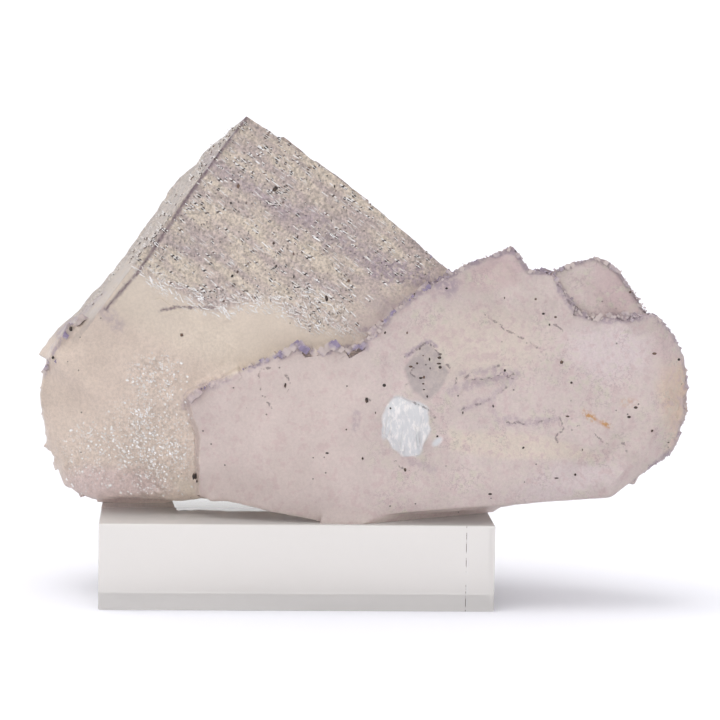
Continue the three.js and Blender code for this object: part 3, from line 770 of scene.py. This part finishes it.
    # Tiny brown pits of the etched face, under 0.3 mm, and the hairline cracks
    pits = times(dots(add(tree, STRETCH, {
        "Vector": mm, "Scale": (1.5, 1.5, 1.5),
    }), 0.26, 0.42), mask("rough"))
    fewer = dots(add(tree, STRETCH, {"Vector": mm, "Scale": (0.6, 0.6, 0.6)}), 0.1, 0.3)
    line = add(tree, ADD, {
        0: mask("hairline"), 1: add(tree, SMOOTH, {
            0: add(tree, NOISE, {
                "Vector": mm, "Scale": 1.1, "Detail": 3, "Roughness": 0.8,
            }), 1: 0.35, 2: 0.65, 3: -0.05, 4: 0.3,
        }),
    })
    crack = add(tree, SMOOTH, {0: line, 1: 0.1, 2: 0.24, 3: 0.6, 4: 0.0})
    body = add(tree, COAT, {0: crack, 6: body, 7: opaque(colour("#5F5058"))}).outputs[2]
    body = add(tree, COAT, {0: mask("rim", 0.8), 6: body, 7: opaque(colour("#7A6670"))}).outputs[2]
    ink = add(tree, MAXIMUM, {0: times(pits, 0.6), 1: times(fewer, 0.75)})
    body = add(tree, COAT, {0: ink, 6: body, 7: opaque(settings.ink)}).outputs[2]

    height = add(tree, ADD, {0: times(grain, frosting), 1: times(bright, 0.5)})
    height = add(tree, SUBTRACT, {0: height, 1: add(tree, MAXIMUM, {0: ink, 1: crack})})
    bump = add(tree, "ShaderNodeBump", {"Height": height, "Distance": 0.1 * MM, "Strength": 1.0})
    surface = add(tree, "ShaderNodeBsdfPrincipled", {
        "Base Color": body, "Roughness": add(tree, SMOOTH, {
            0: mottle, 1: 0.3, 2: 0.7, 3: 0.3, 4: 0.5,
        }), "IOR": 1.434,
        "Transmission Weight": 0.4, "Normal": bump,
    })
    depth = add(tree, "ShaderNodeVolumeAbsorption", {"Color": (0.93, 0.88, 0.86, 1.0), "Density": 8.0})
    add(tree, "ShaderNodeOutputMaterial", {"Surface": surface, "Volume": depth})
    return material


class SPECIMEN_OT_stone(bpy.types.Operator):
    """Build the fluorite stone"""

    bl_idname = "specimen.stone"
    bl_label = "Fluorite stone"

    def execute(self, context):
        settings = context.scene.specimen_stone
        mesh = build_stone(settings)
        mesh.materials.append(fluorite_material(settings))
        stone = piece("fluorite_stone", mesh)
        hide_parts("fluorite_cluster")
        return {"FINISHED"}


# Small crystals, specks and flakes

# The edges that carry rows of small cubes: a path in the front plane, its depth, and the size of its cubes
TOOTHED_EDGES = [
    ([(-7.4, 22.8), (-5.4, 23.6), (-3, 24.6)], 1.0, 1.0),
    ([(-3, 24.7), (-0.4, 25.8), (0.8, 25.5)], 1.0, 1.7),
    ([(3.4, 25.2), (4.6, 25.8), (5.6, 25.6)], 1.0, 1.8),
    ([(5.6, 25.4), (7, 25.1), (9.4, 26)], 1.0, 1.3),
    ([(9.6, 26.2), (11.9, 28.2), (13.4, 30.4), (15, 31.8)], 1.0, 0.9),
    ([(15, 31.8), (18, 34), (22.9, 36.6)], 1.1, 0.6),
    ([(-16.7, 17.8), (-15, 19.5), (-10.9, 20.9), (-7.4, 22.8)], 0.8, 0.45),
    ([(41, 31.4), (42.4, 30.1), (45, 29.8), (47.1, 30.3), (51, 30.2)], 1.5, 0.6),
    ([(22.9, 36.6), (25.2, 38), (30.7, 40.1), (32.1, 39.8), (34.2, 37), (37.9, 36.6)], 1.6, 0.5),
    ([(37.9, 37.2), (41, 38.2), (44.2, 39), (47.4, 37.1), (50.2, 33.1), (52, 30.6)], 2.6, 0.45),
    ([(-32.4, 30.2), (-34.4, 28.6), (-35.2, 27.4)], 6.5, 1.5),
    ([(-35.4, 26.8), (-37, 24.4), (-38.4, 22.4)], 8.0, 1.1),
]

# Dark specks that stand out in the front view: place, and how large in tenths of a millimetre, about
MARKED_SPECKS = [
    (-3.8, 49.3, 4.6), (-3.1, 49, 2), (-9.3, 49.7, 4), (-8.1, 47.2, 2), (-10.4, 47.2, 2), (-2.6, 47.3, 2),
    (5.1, 49.7, 2.4), (5.3, 49, 2), (3.9, 33, 5), (-1, 36.2, 2.6), (-3.6, 37.8, 2.2), (-0.4, 42.2, 2.2),
    (-9.4, 36.9, 2.6), (-10.2, 36.3, 2.2), (7.2, 35.6, 2.6), (-1, 39.6, 2.4), (-4, 41.2, 2.4),
    (4.6, 44.6, 2.2), (24.2, 15.9, 2.2), (28.7, 16.9, 2.4), (38.9, 23.4, 2.8), (52.4, 13.2, 2),
    (33.2, 10.7, 1.8), (42, 10.4, 1.8), (9.3, 9.1, 2.4), (11.2, 15.9, 2), (9.9, 17.8, 4.4),
    (15.9, 27.8, 2), (-2.2, 20, 4), (-15.9, 6.3, 5), (-15.5, 5.6, 2.6), (-17.7, 27.5, 2.6),
    (-34.4, 28.4, 4), (-37.2, 24.1, 2.6), (17.8, 25.4, 2), (12.6, 27.8, 2.2), (13.4, 16.6, 1.6),
    (30.4, 33, 1.8), (20.4, 12.4, 1.6), (15.6, 7.4, 2.8),
]


def group_tree(name, sockets):
    """A geometry node tree with a geometry input and output, named inputs, and the outputs of its input node.
    """
    tree = bpy.data.node_groups.new(name, "GeometryNodeTree")
    tree.interface.new_socket("Geometry", in_out="INPUT", socket_type="NodeSocketGeometry")
    for label, kind in sockets.items():
        tree.interface.new_socket(label, in_out="INPUT", socket_type="NodeSocket" + kind)
    tree.interface.new_socket("Geometry", in_out="OUTPUT", socket_type="NodeSocketGeometry")
    return tree, add(tree, "NodeGroupInput").outputs


def run_tree(name, mesh, tree, values):
    """The plain mesh that a tree makes from a mesh."""
    carrier = bpy.data.objects.new(name, mesh)
    bpy.context.scene.collection.objects.link(carrier)
    modifier = carrier.modifiers.new("Growth", "NODES")
    modifier.node_group = tree
    for item in tree.interface.items_tree:
        if item.in_out == "INPUT" and item.name in values:
            modifier[item.identifier] = values[item.name]
    seen = carrier.evaluated_get(bpy.context.evaluated_depsgraph_get())
    made = bpy.data.meshes.new_from_object(seen)
    made.name = name
    made.materials.clear()
    made.materials.append(values["Material"])
    made.polygons.foreach_set("material_index", np.zeros(len(made.polygons), dtype=np.int32))
    bpy.data.objects.remove(carrier)
    return made


def turned_like_stone(tree, spin):
    """A rotation that follows the stone's axes and spins in its front plane."""
    base = add(tree, "FunctionNodeEulerToRotation", {"Euler": STONE_AXES.to_euler()})
    inner = add(tree, "FunctionNodeAxisAngleToRotation", {"Axis": (0.0, 1.0, 0.0), "Angle": spin})
    return add(tree, "FunctionNodeRotateRotation", {
        "Rotation": base, "Rotate By": inner,
    }, rotation_space="LOCAL")


def grow_teeth(settings, material):
    """Rows of small cubes along the ledges and the outer edges."""
    tree, given = group_tree("Edge crystals", {
        "Spacing": "Float", "Side": "Float", "Seed": "Int", "Material": "Material",
    })
    curve = add(tree, "GeometryNodeMeshToCurve", {"Mesh": given["Geometry"]})
    row = add(tree, "GeometryNodeResampleCurve", {"Curve": curve, "Length": given["Spacing"]}, mode="LENGTH")
    jitter = add(tree, "FunctionNodeRandomValue", {
        0: (-0.00025, -0.0003, -0.00025), 1: (0.00025, 0.0003, 0.00025), "Seed": given["Seed"],
    }, data_type="FLOAT_VECTOR")
    spots = add(tree, "GeometryNodeSetPosition", {"Geometry": row, "Offset": jitter.outputs[0]})
    cube = add(tree, "GeometryNodeMeshCube", {"Size": (1.0, 1.0, 1.0)})
    size = add(tree, "FunctionNodeRandomValue", {
        0: (0.5, 1.2, 0.5), 1: (1.3, 2.6, 1.3), "Seed": 5,
    }, data_type="FLOAT_VECTOR")
    local = add(tree, "GeometryNodeInputNamedAttribute", {"Name": "size"}, data_type="FLOAT")
    side = add(tree, "ShaderNodeMath", {0: given["Side"], 1: local.outputs[0]}, operation="MULTIPLY")
    scale = add(tree, "ShaderNodeVectorMath", {0: size.outputs[0], "Scale": side}, operation="SCALE")
    cubes = add(tree, "GeometryNodeInstanceOnPoints", {
        "Points": spots, "Instance": cube, "Scale": scale,
        "Rotation": turned_like_stone(tree, cube_spin(tree)),
    })
    real = add(tree, "GeometryNodeRealizeInstances", {"Geometry": cubes})
    done = add(tree, "GeometryNodeSetMaterial", {"Geometry": real, "Material": given["Material"]})
    add(tree, "NodeGroupOutput", {"Geometry": done})

    points, edges, sizes = [], [], []
    for path, depth, size in TOOTHED_EDGES:
        for i, (x, z) in enumerate(path):
            if i:
                edges.append((len(points) - 1, len(points)))
            points.append((x, depth, z))
            sizes.append(size)
    mesh = bpy.data.meshes.new("edge_paths")
    mesh.from_pydata(frame_space(points).tolist(), edges, [])
    store(mesh, "size", np.array(sizes))
    return run_tree("edge_crystals", mesh, tree, {
        "Spacing": settings.tooth_gap, "Side": settings.tooth_size, "Seed": settings.seed,
        "Material": material,
    })


def front_spots(stone_mesh, wanted):
    """The places on the stone's front that lie behind points of the front plane."""
    points = np.array([v.co for v in stone_mesh.vertices])
    place = stone_space(points)
    found = []
    for x, z in wanted:
        near = np.flatnonzero(np.hypot(place[:, 0] - x, place[:, 2] - z) < 0.5)
        found.append((x, place[near, 1].min() if len(near) else 3.0, z))
    return found


def strewn(name, stone_mesh, share, unit, sizes, spin, values):
    """Small pieces strewn over the stone as densely as its attribute says, turned by spin or the surface."""
    tree, given = group_tree(name, {
        "Size": "Float", "Sink": "Float", "Density": "Float", "Seed": "Int", "Material": "Material",
    })
    amount = add(tree, "GeometryNodeInputNamedAttribute", {"Name": share}, data_type="FLOAT")
    density = add(tree, "ShaderNodeMath", {0: amount.outputs[0], 1: given["Density"]}, operation="MULTIPLY")
    points = add(tree, "GeometryNodeDistributePointsOnFaces", {
        "Mesh": given["Geometry"], "Density": density, "Seed": given["Seed"],
    })
    down = add(tree, "ShaderNodeVectorMath", {
        0: points.outputs["Normal"], "Scale": given["Sink"],
    }, operation="SCALE")
    sunk = add(tree, "GeometryNodeSetPosition", {"Geometry": points, "Offset": down})
    grain = add(tree, *unit)
    size = add(tree, "FunctionNodeRandomValue", {
        0: sizes[0], 1: sizes[1], "Seed": 11,
    }, data_type="FLOAT_VECTOR")
    scale = add(tree, "ShaderNodeVectorMath", {
        0: size.outputs[0], "Scale": given["Size"],
    }, operation="SCALE")
    turn = turned_like_stone(tree, spin(tree)) if spin else points.outputs["Rotation"]
    grains = add(tree, "GeometryNodeInstanceOnPoints", {
        "Points": sunk, "Instance": grain, "Rotation": turn, "Scale": scale,
    })
    real = add(tree, "GeometryNodeRealizeInstances", {"Geometry": grains})
    done = add(tree, "GeometryNodeSetMaterial", {"Geometry": real, "Material": given["Material"]})
    add(tree, "NodeGroupOutput", {"Geometry": done})
    return run_tree(name, stone_mesh, tree, values)


def grow_specks(settings, stone_mesh, material):
    """Dark specks: small ones strewn over the etched face, and the ones that stand out in the front view."""
    made = strewn(
        "pit_specks", stone_mesh, "speckled",
        ("GeometryNodeMeshIcoSphere", {"Radius": 1.0, "Subdivisions": 2}),
        ((0.25, 0.25, 0.2), (1.0, 0.8, 0.4)), None,
        {
            "Size": settings.speck_size, "Sink": 0.0, "Density": SPECKS_PER_AREA, "Seed": settings.seed,
            "Material": material,
        },
    )
    work = bmesh.new()
    work.from_mesh(made)
    for spot, (x, z, tenths) in zip(front_spots(stone_mesh, [m[:2] for m in MARKED_SPECKS]), MARKED_SPECKS):
        for vert in bmesh.ops.create_icosphere(work, subdivisions=2, radius=1.0)["verts"]:
            unevenness = 0.35 * math.sin(5 * vert.co.x + 9 * x) * math.cos(4 * vert.co.z + z)
            lump = SPECK_REACH * tenths * (1 + unevenness)
            offset = np.array([vert.co.x * (0.7 + 0.3 * math.sin(x)), 0.45 * vert.co.y, vert.co.z]) * lump
            vert.co = frame_space([np.array(spot) + offset])[0].tolist()
    work.to_mesh(made)
    work.free()
    return made


def flake_spin(tree):
    """Along the cube's edge, and a little wilder where the etched face ends."""
    wild = add(tree, "GeometryNodeInputNamedAttribute", {"Name": "wild"}, data_type="FLOAT")
    swing = add(tree, "FunctionNodeRandomValue", {2: -1.0, 3: 1.0, "Seed": 21}, data_type="FLOAT")
    reach = add(tree, "ShaderNodeMath", {0: wild.outputs[0], 1: 1.4, 2: 0.12}, operation="MULTIPLY_ADD")
    return add(tree, "ShaderNodeMath", {
        0: swing.outputs[1], 1: reach, 2: math.radians(CUBE_SLOPE),
    }, operation="MULTIPLY_ADD")


def cube_spin(tree):
    """Near the turn of the big cube, a little off each time."""
    return add(tree, "FunctionNodeRandomValue", {2: 0.35, 3: 1.0, "Seed": 3}, data_type="FLOAT").outputs[1]


def grow_flakes(settings, stone_mesh, material):
    """Bright cleavage slivers of the etched face."""
    return strewn(
        "cleavage_flakes", stone_mesh, "flaky", ("GeometryNodeMeshCube", {"Size": (1.0, 0.24, 0.14)}),
        ((0.25, 0.5, 0.4), (1.2, 1.0, 1.1)), flake_spin,
        {
            "Size": settings.flake_length, "Sink": 0.0, "Density": FLAKES_PER_AREA, "Seed": settings.seed,
            "Material": material,
        },
    )


def grow_grains(settings, stone_mesh, material):
    """Small bright grains of the sugary growth, in clumps."""
    return strewn(
        "sugar_grains", stone_mesh, "grainy", ("GeometryNodeMeshCube", {"Size": (1.0, 1.0, 1.0)}),
        ((0.3, 0.4, 0.3), (1.1, 0.8, 0.8)), cube_spin,
        {
            "Size": settings.grain_size, "Sink": 0.0, "Density": GRAINS_PER_AREA, "Seed": settings.seed,
            "Material": material,
        },
    )


def grow_crust(settings, stone_mesh, material):
    """Small cubes that roughen the outer rim."""
    return strewn(
        "rim_crystals", stone_mesh, "crusted", ("GeometryNodeMeshCube", {"Size": (1.0, 1.0, 1.0)}),
        ((0.45, 0.6, 0.45), (1.0, 1.4, 1.0)), cube_spin,
        {
            "Size": settings.crust_size, "Sink": -0.2 * MM, "Density": CRUST_PER_AREA, "Seed": settings.seed,
            "Material": material,
        },
    )


def outer_growth_material(settings):
    """Fluorite, violet outer zone: the last growth, a little glossier and deeper in colour."""
    material, tree = new_material("Fluorite, violet outer growth")
    spot = add(tree, "ShaderNodeTexCoord").outputs["Object"]
    tone = add(tree, "ShaderNodeTexNoise", {"Vector": spot, "Scale": 420.0, "Detail": 3.0})
    side = add(tree, "ShaderNodeSeparateXYZ", {"Vector": spot})
    pale = add(tree, SMOOTH, {0: side.outputs[0], 1: 0.022, 2: 0.045, 3: 0.0, 4: 0.55})
    body = add(tree, COAT, {
        0: add(tree, SMOOTH, {
            0: tone, 1: 0.4, 2: 0.62,
        }), 6: opaque(settings.ledge), 7: opaque(settings.lilac),
    }).outputs[2]
    body = add(tree, COAT, {0: pale, 6: body, 7: opaque(settings.lilac)}).outputs[2]
    surface = add(tree, "ShaderNodeBsdfPrincipled", {
        "Base Color": body, "Roughness": add(tree, SMOOTH, {
            0: tone, 1: 0.3, 2: 0.7, 3: 0.2, 4: 0.4,
        }), "IOR": 1.434,
        "Transmission Weight": 0.3,
    })
    add(tree, "ShaderNodeOutputMaterial", {"Surface": surface})
    return material


def speck_material(settings):
    """Iron and clay in open pits: dull, nearly black, brown where thin."""
    material, tree = new_material("Pit filling, dark earthy")
    spot = add(tree, "ShaderNodeTexCoord").outputs["Object"]
    tone = add(tree, "ShaderNodeTexNoise", {"Vector": spot, "Scale": 900.0, "Detail": 2.0})
    body = add(tree, COAT, {
        0: add(tree, SMOOTH, {
            0: tone, 1: 0.4, 2: 0.7,
        }), 6: opaque(settings.ink), 7: opaque(colour("#6B5548")),
    }).outputs[2]
    surface = add(tree, "ShaderNodeBsdfPrincipled", {"Base Color": body, "Roughness": 0.7})
    add(tree, "ShaderNodeOutputMaterial", {"Surface": surface})
    return material


def flake_material(settings):
    """Fluorite, fresh cleavage: bright white slivers with a glassy lustre."""
    # Partly painted highlight: the near-white colour of the slivers and grains stands for the glints of small
    # step edges and facets. Their low roughness gives them a real lustre as well.
    material, tree = new_material("Fluorite, fresh cleavage slivers")
    spot = add(tree, "ShaderNodeTexCoord").outputs["Object"]
    tone = add(tree, "ShaderNodeTexNoise", {"Vector": spot, "Scale": 700.0, "Detail": 2.0})
    body = add(tree, COAT, {
        0: add(tree, SMOOTH, {
            0: tone, 1: 0.35, 2: 0.65,
        }), 6: opaque(colour("#E9E2DC")), 7: opaque(settings.chalk_and_glint),
    }).outputs[2]
    surface = add(tree, "ShaderNodeBsdfPrincipled", {
        "Base Color": body, "Roughness": 0.12, "IOR": 1.434, "Transmission Weight": 0.15,
    })
    add(tree, "ShaderNodeOutputMaterial", {"Surface": surface})
    return material


class SPECIMEN_OT_growth(bpy.types.Operator):
    """Grow the small crystals, specks and flakes on the stone"""

    bl_idname = "specimen.growth"
    bl_label = "Crystals, specks, flakes and grains"

    def execute(self, context):
        settings = context.scene.specimen_growth
        colours = context.scene.specimen_stone
        stone = bpy.data.objects.get("fluorite_stone")
        if stone is None:
            raise RuntimeError("build the fluorite stone first")
        violet = outer_growth_material(colours)
        bright = flake_material(colours)
        for mesh in (
            grow_teeth(settings, violet),
            grow_crust(settings, stone.data, violet),
            grow_specks(settings, stone.data, speck_material(colours)),
            grow_flakes(settings, stone.data, bright),
            grow_grains(settings, stone.data, bright),
        ):
            piece(mesh.name, mesh)
        return {"FINISHED"}


# The display block


def acrylic_material(settings):
    """Acrylic, cast sheet with polished edges: clear, with a faint warm green where it is deep."""
    material, tree = new_material("Acrylic, clear polished")
    spot = add(tree, "ShaderNodeTexCoord").outputs["Object"]
    haze = add(tree, "ShaderNodeTexNoise", {"Vector": spot, "Scale": 90.0, "Detail": 3.0})
    edge_image_breaks = add(tree, "ShaderNodeTexNoise", {"Vector": spot, "Scale": 900.0, "Detail": 3.0})
    side = add(tree, "ShaderNodeSeparateXYZ", {"Vector": spot})
    front = add(tree, LESS_THAN, {0: side.outputs[1], 1: -12.3 * MM})
    body = opaque(settings.body)
    # Painted reflection: the block's back right edge, seen through the front face, is drawn on the front face
    # at 25.2 mm. It is a dark line with a painted white highlight beside it, and noise breaks it into dashes.
    for place, reach, tone in ((25.2, 0.09, "#7E736C"), (25.36, 0.07, "#FFFFFF")):
        gap = add(tree, ABSOLUTE, {0: add(tree, SUBTRACT, {0: side.outputs[0], 1: place * MM})})
        line = add(tree, MULTIPLY, {
            0: add(tree, SMOOTH, {0: gap, 1: 0.5 * reach * MM, 2: reach * MM, 3: 1.0, 4: 0.0}), 1: front,
        })
        line = add(tree, MULTIPLY, {
            0: line, 1: add(tree, SMOOTH, {0: edge_image_breaks, 1: 0.42, 2: 0.56, 3: 0.0, 4: 0.85}),
        })
        body = add(tree, COAT, {0: line, 6: body, 7: opaque(colour(tone))}).outputs[2]
    # Half of the block is a pale diffuse surface. In part this paints in what the clear acrylic shows through
    # it and reflects.
    surface = add(tree, "ShaderNodeBsdfPrincipled", {
        "Base Color": body, "Roughness": add(tree, SMOOTH, {
            0: haze, 1: 0.3, 2: 0.8, 3: 0.01, 4: 0.05,
        }), "IOR": 1.49,
        "Transmission Weight": 0.5,
    })
    depth = add(tree, "ShaderNodeVolumeAbsorption", {"Color": opaque(settings.depth_tint), "Density": 7.0})
    add(tree, "ShaderNodeOutputMaterial", {"Surface": surface, "Volume": depth})
    return material


class SPECIMEN_OT_block(bpy.types.Operator):
    """Build the clear display block"""

    bl_idname = "specimen.block"
    bl_label = "Acrylic block"

    def execute(self, context):
        settings = context.scene.specimen_block
        low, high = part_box("acrylic_block")
        work = bmesh.new()
        bmesh.ops.create_cube(work, size=1.0)
        for vert in work.verts:
            vert.co = [low[i] + (vert.co[i] + 0.5) * (high[i] - low[i]) for i in range(3)]
        bmesh.ops.bevel(
            work, geom=work.edges[:], offset=settings.edge_radius, segments=4, profile=0.5, affect="EDGES"
        )
        mesh = bpy.data.meshes.new("display_block")
        work.to_mesh(mesh)
        work.free()
        mesh.shade_smooth()
        mesh.set_sharp_from_angle(angle=math.radians(30))
        mesh.materials.append(acrylic_material(settings))
        block = piece("display_block", mesh)
        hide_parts("acrylic_block")
        return {"FINISHED"}


# Floor, light and camera


def floor_material(settings):
    """Paper, matt white: no gloss, with the faintest unevenness."""
    material, tree = new_material("Paper, matt white")
    spot = add(tree, "ShaderNodeTexCoord").outputs["Object"]
    tone = add(tree, "ShaderNodeTexNoise", {"Vector": spot, "Scale": 12.0, "Detail": 2.0})
    body = add(tree, COAT, {0: tone, 6: opaque(settings.floor), 7: opaque(colour("#E6E6EC"))}).outputs[2]
    surface = add(tree, "ShaderNodeBsdfPrincipled", {
        "Base Color": body, "Roughness": 0.9, "Specular IOR Level": 0.1,
    })
    add(tree, "ShaderNodeOutputMaterial", {"Surface": surface})
    return material


def soft_sun(towards, width, strength, tint):
    """A sun as wide as a soft box, in degrees, that shines along a direction."""
    data = bpy.data.lights.new("key", "SUN")
    data.angle = math.radians(width)
    data.energy = strength
    data.color = tint
    light = bpy.data.objects.new("key", data)
    light.rotation_euler = Vector(towards).to_track_quat("-Z", "Y").to_euler()
    bpy.context.scene.collection.objects.link(light)


class SPECIMEN_OT_stage(bpy.types.Operator):
    """Set the pale floor, the soft light and the camera"""

    bl_idname = "specimen.stage"
    bl_label = "Stage"

    def execute(self, context):
        settings = context.scene.specimen_stage
        scene = context.scene
        work = bmesh.new()
        bmesh.ops.create_circle(work, cap_ends=True, segments=96, radius=14.0)
        bmesh.ops.translate(work, verts=work.verts[:], vec=(0, 0, 0.02 * MM))
        mesh = bpy.data.meshes.new("floor")
        work.to_mesh(mesh)
        work.free()
        mesh.materials.append(floor_material(settings))
        floor = bpy.data.objects.new("floor", mesh)
        scene.collection.objects.link(floor)

        world = bpy.data.worlds.new("White surround")
        world.use_nodes = True
        world.node_tree.nodes["Background"].inputs["Color"].default_value = (0.985, 0.99, 1.0, 1.0)
        world.node_tree.nodes["Background"].inputs["Strength"].default_value = settings.surround
        scene.world = world

        soft_sun((0.26, 0.06, -0.96), 44, settings.key, (1.0, 0.985, 0.97))

        turn = Matrix.Rotation(math.radians(-CAMERA_TURN), 4, "Z")
        pitch = Matrix.Rotation(math.radians(90 - CAMERA_PITCH), 4, "X")
        roll = Matrix.Rotation(math.radians(CAMERA_ROLL), 4, "Z")
        data = bpy.data.cameras.new("camera")
        data.lens = CAMERA_LENS
        data.sensor_width = 36.0
        data.clip_start = 0.01
        data.clip_end = 100.0
        camera = bpy.data.objects.new("camera", data)
        camera.matrix_world = Matrix.Translation(CAMERA_PLACE * MM) @ turn @ pitch @ roll
        scene.collection.objects.link(camera)
        scene.camera = camera
        scene.view_settings.view_transform = "Standard"
        scene.cycles.max_bounces = 7
        scene.cycles.diffuse_bounces = 3
        scene.cycles.glossy_bounces = 3
        scene.cycles.transmission_bounces = 6
        return {"FINISHED"}


# The panel


class SPECIMEN_PT_panel(bpy.types.Panel):
    """Everything that builds the specimen"""

    bl_idname = "SPECIMEN_PT_panel"
    bl_label = "Fluorite specimen"
    bl_space_type = "VIEW_3D"
    bl_region_type = "UI"
    bl_category = "Specimen"

    def draw(self, context):
        for operator, group in PARTS:
            box = self.layout.box()
            box.operator(operator.bl_idname)
            settings = getattr(context.scene, group)
            for name in settings.__annotations__:
                box.prop(settings, name)


PARTS = [
    (SPECIMEN_OT_stage, "specimen_stage"),
    (SPECIMEN_OT_block, "specimen_block"),
    (SPECIMEN_OT_stone, "specimen_stone"),
    (SPECIMEN_OT_growth, "specimen_growth"),
]
GROUPS = {
    "specimen_stage": StageSettings,
    "specimen_block": BlockSettings,
    "specimen_stone": StoneSettings,
    "specimen_growth": GrowthSettings,
}


def register():
    """Adds the settings, the operators and the panel."""
    for name, group in GROUPS.items():
        bpy.utils.register_class(group)
        setattr(bpy.types.Scene, name, bpy.props.PointerProperty(type=group))
    for operator, _ in PARTS:
        bpy.utils.register_class(operator)
    bpy.utils.register_class(SPECIMEN_PT_panel)


def unregister():
    """Takes them away again."""
    bpy.utils.unregister_class(SPECIMEN_PT_panel)
    for operator, _ in reversed(PARTS):
        bpy.utils.unregister_class(operator)
    for name, group in reversed(GROUPS.items()):
        delattr(bpy.types.Scene, name)
        bpy.utils.unregister_class(group)


def main():
    """Builds the whole specimen."""
    register()
    bpy.ops.specimen.stage()
    bpy.ops.specimen.block()
    bpy.ops.specimen.stone()
    bpy.ops.specimen.growth()


if __name__ == "__main__":
    main()
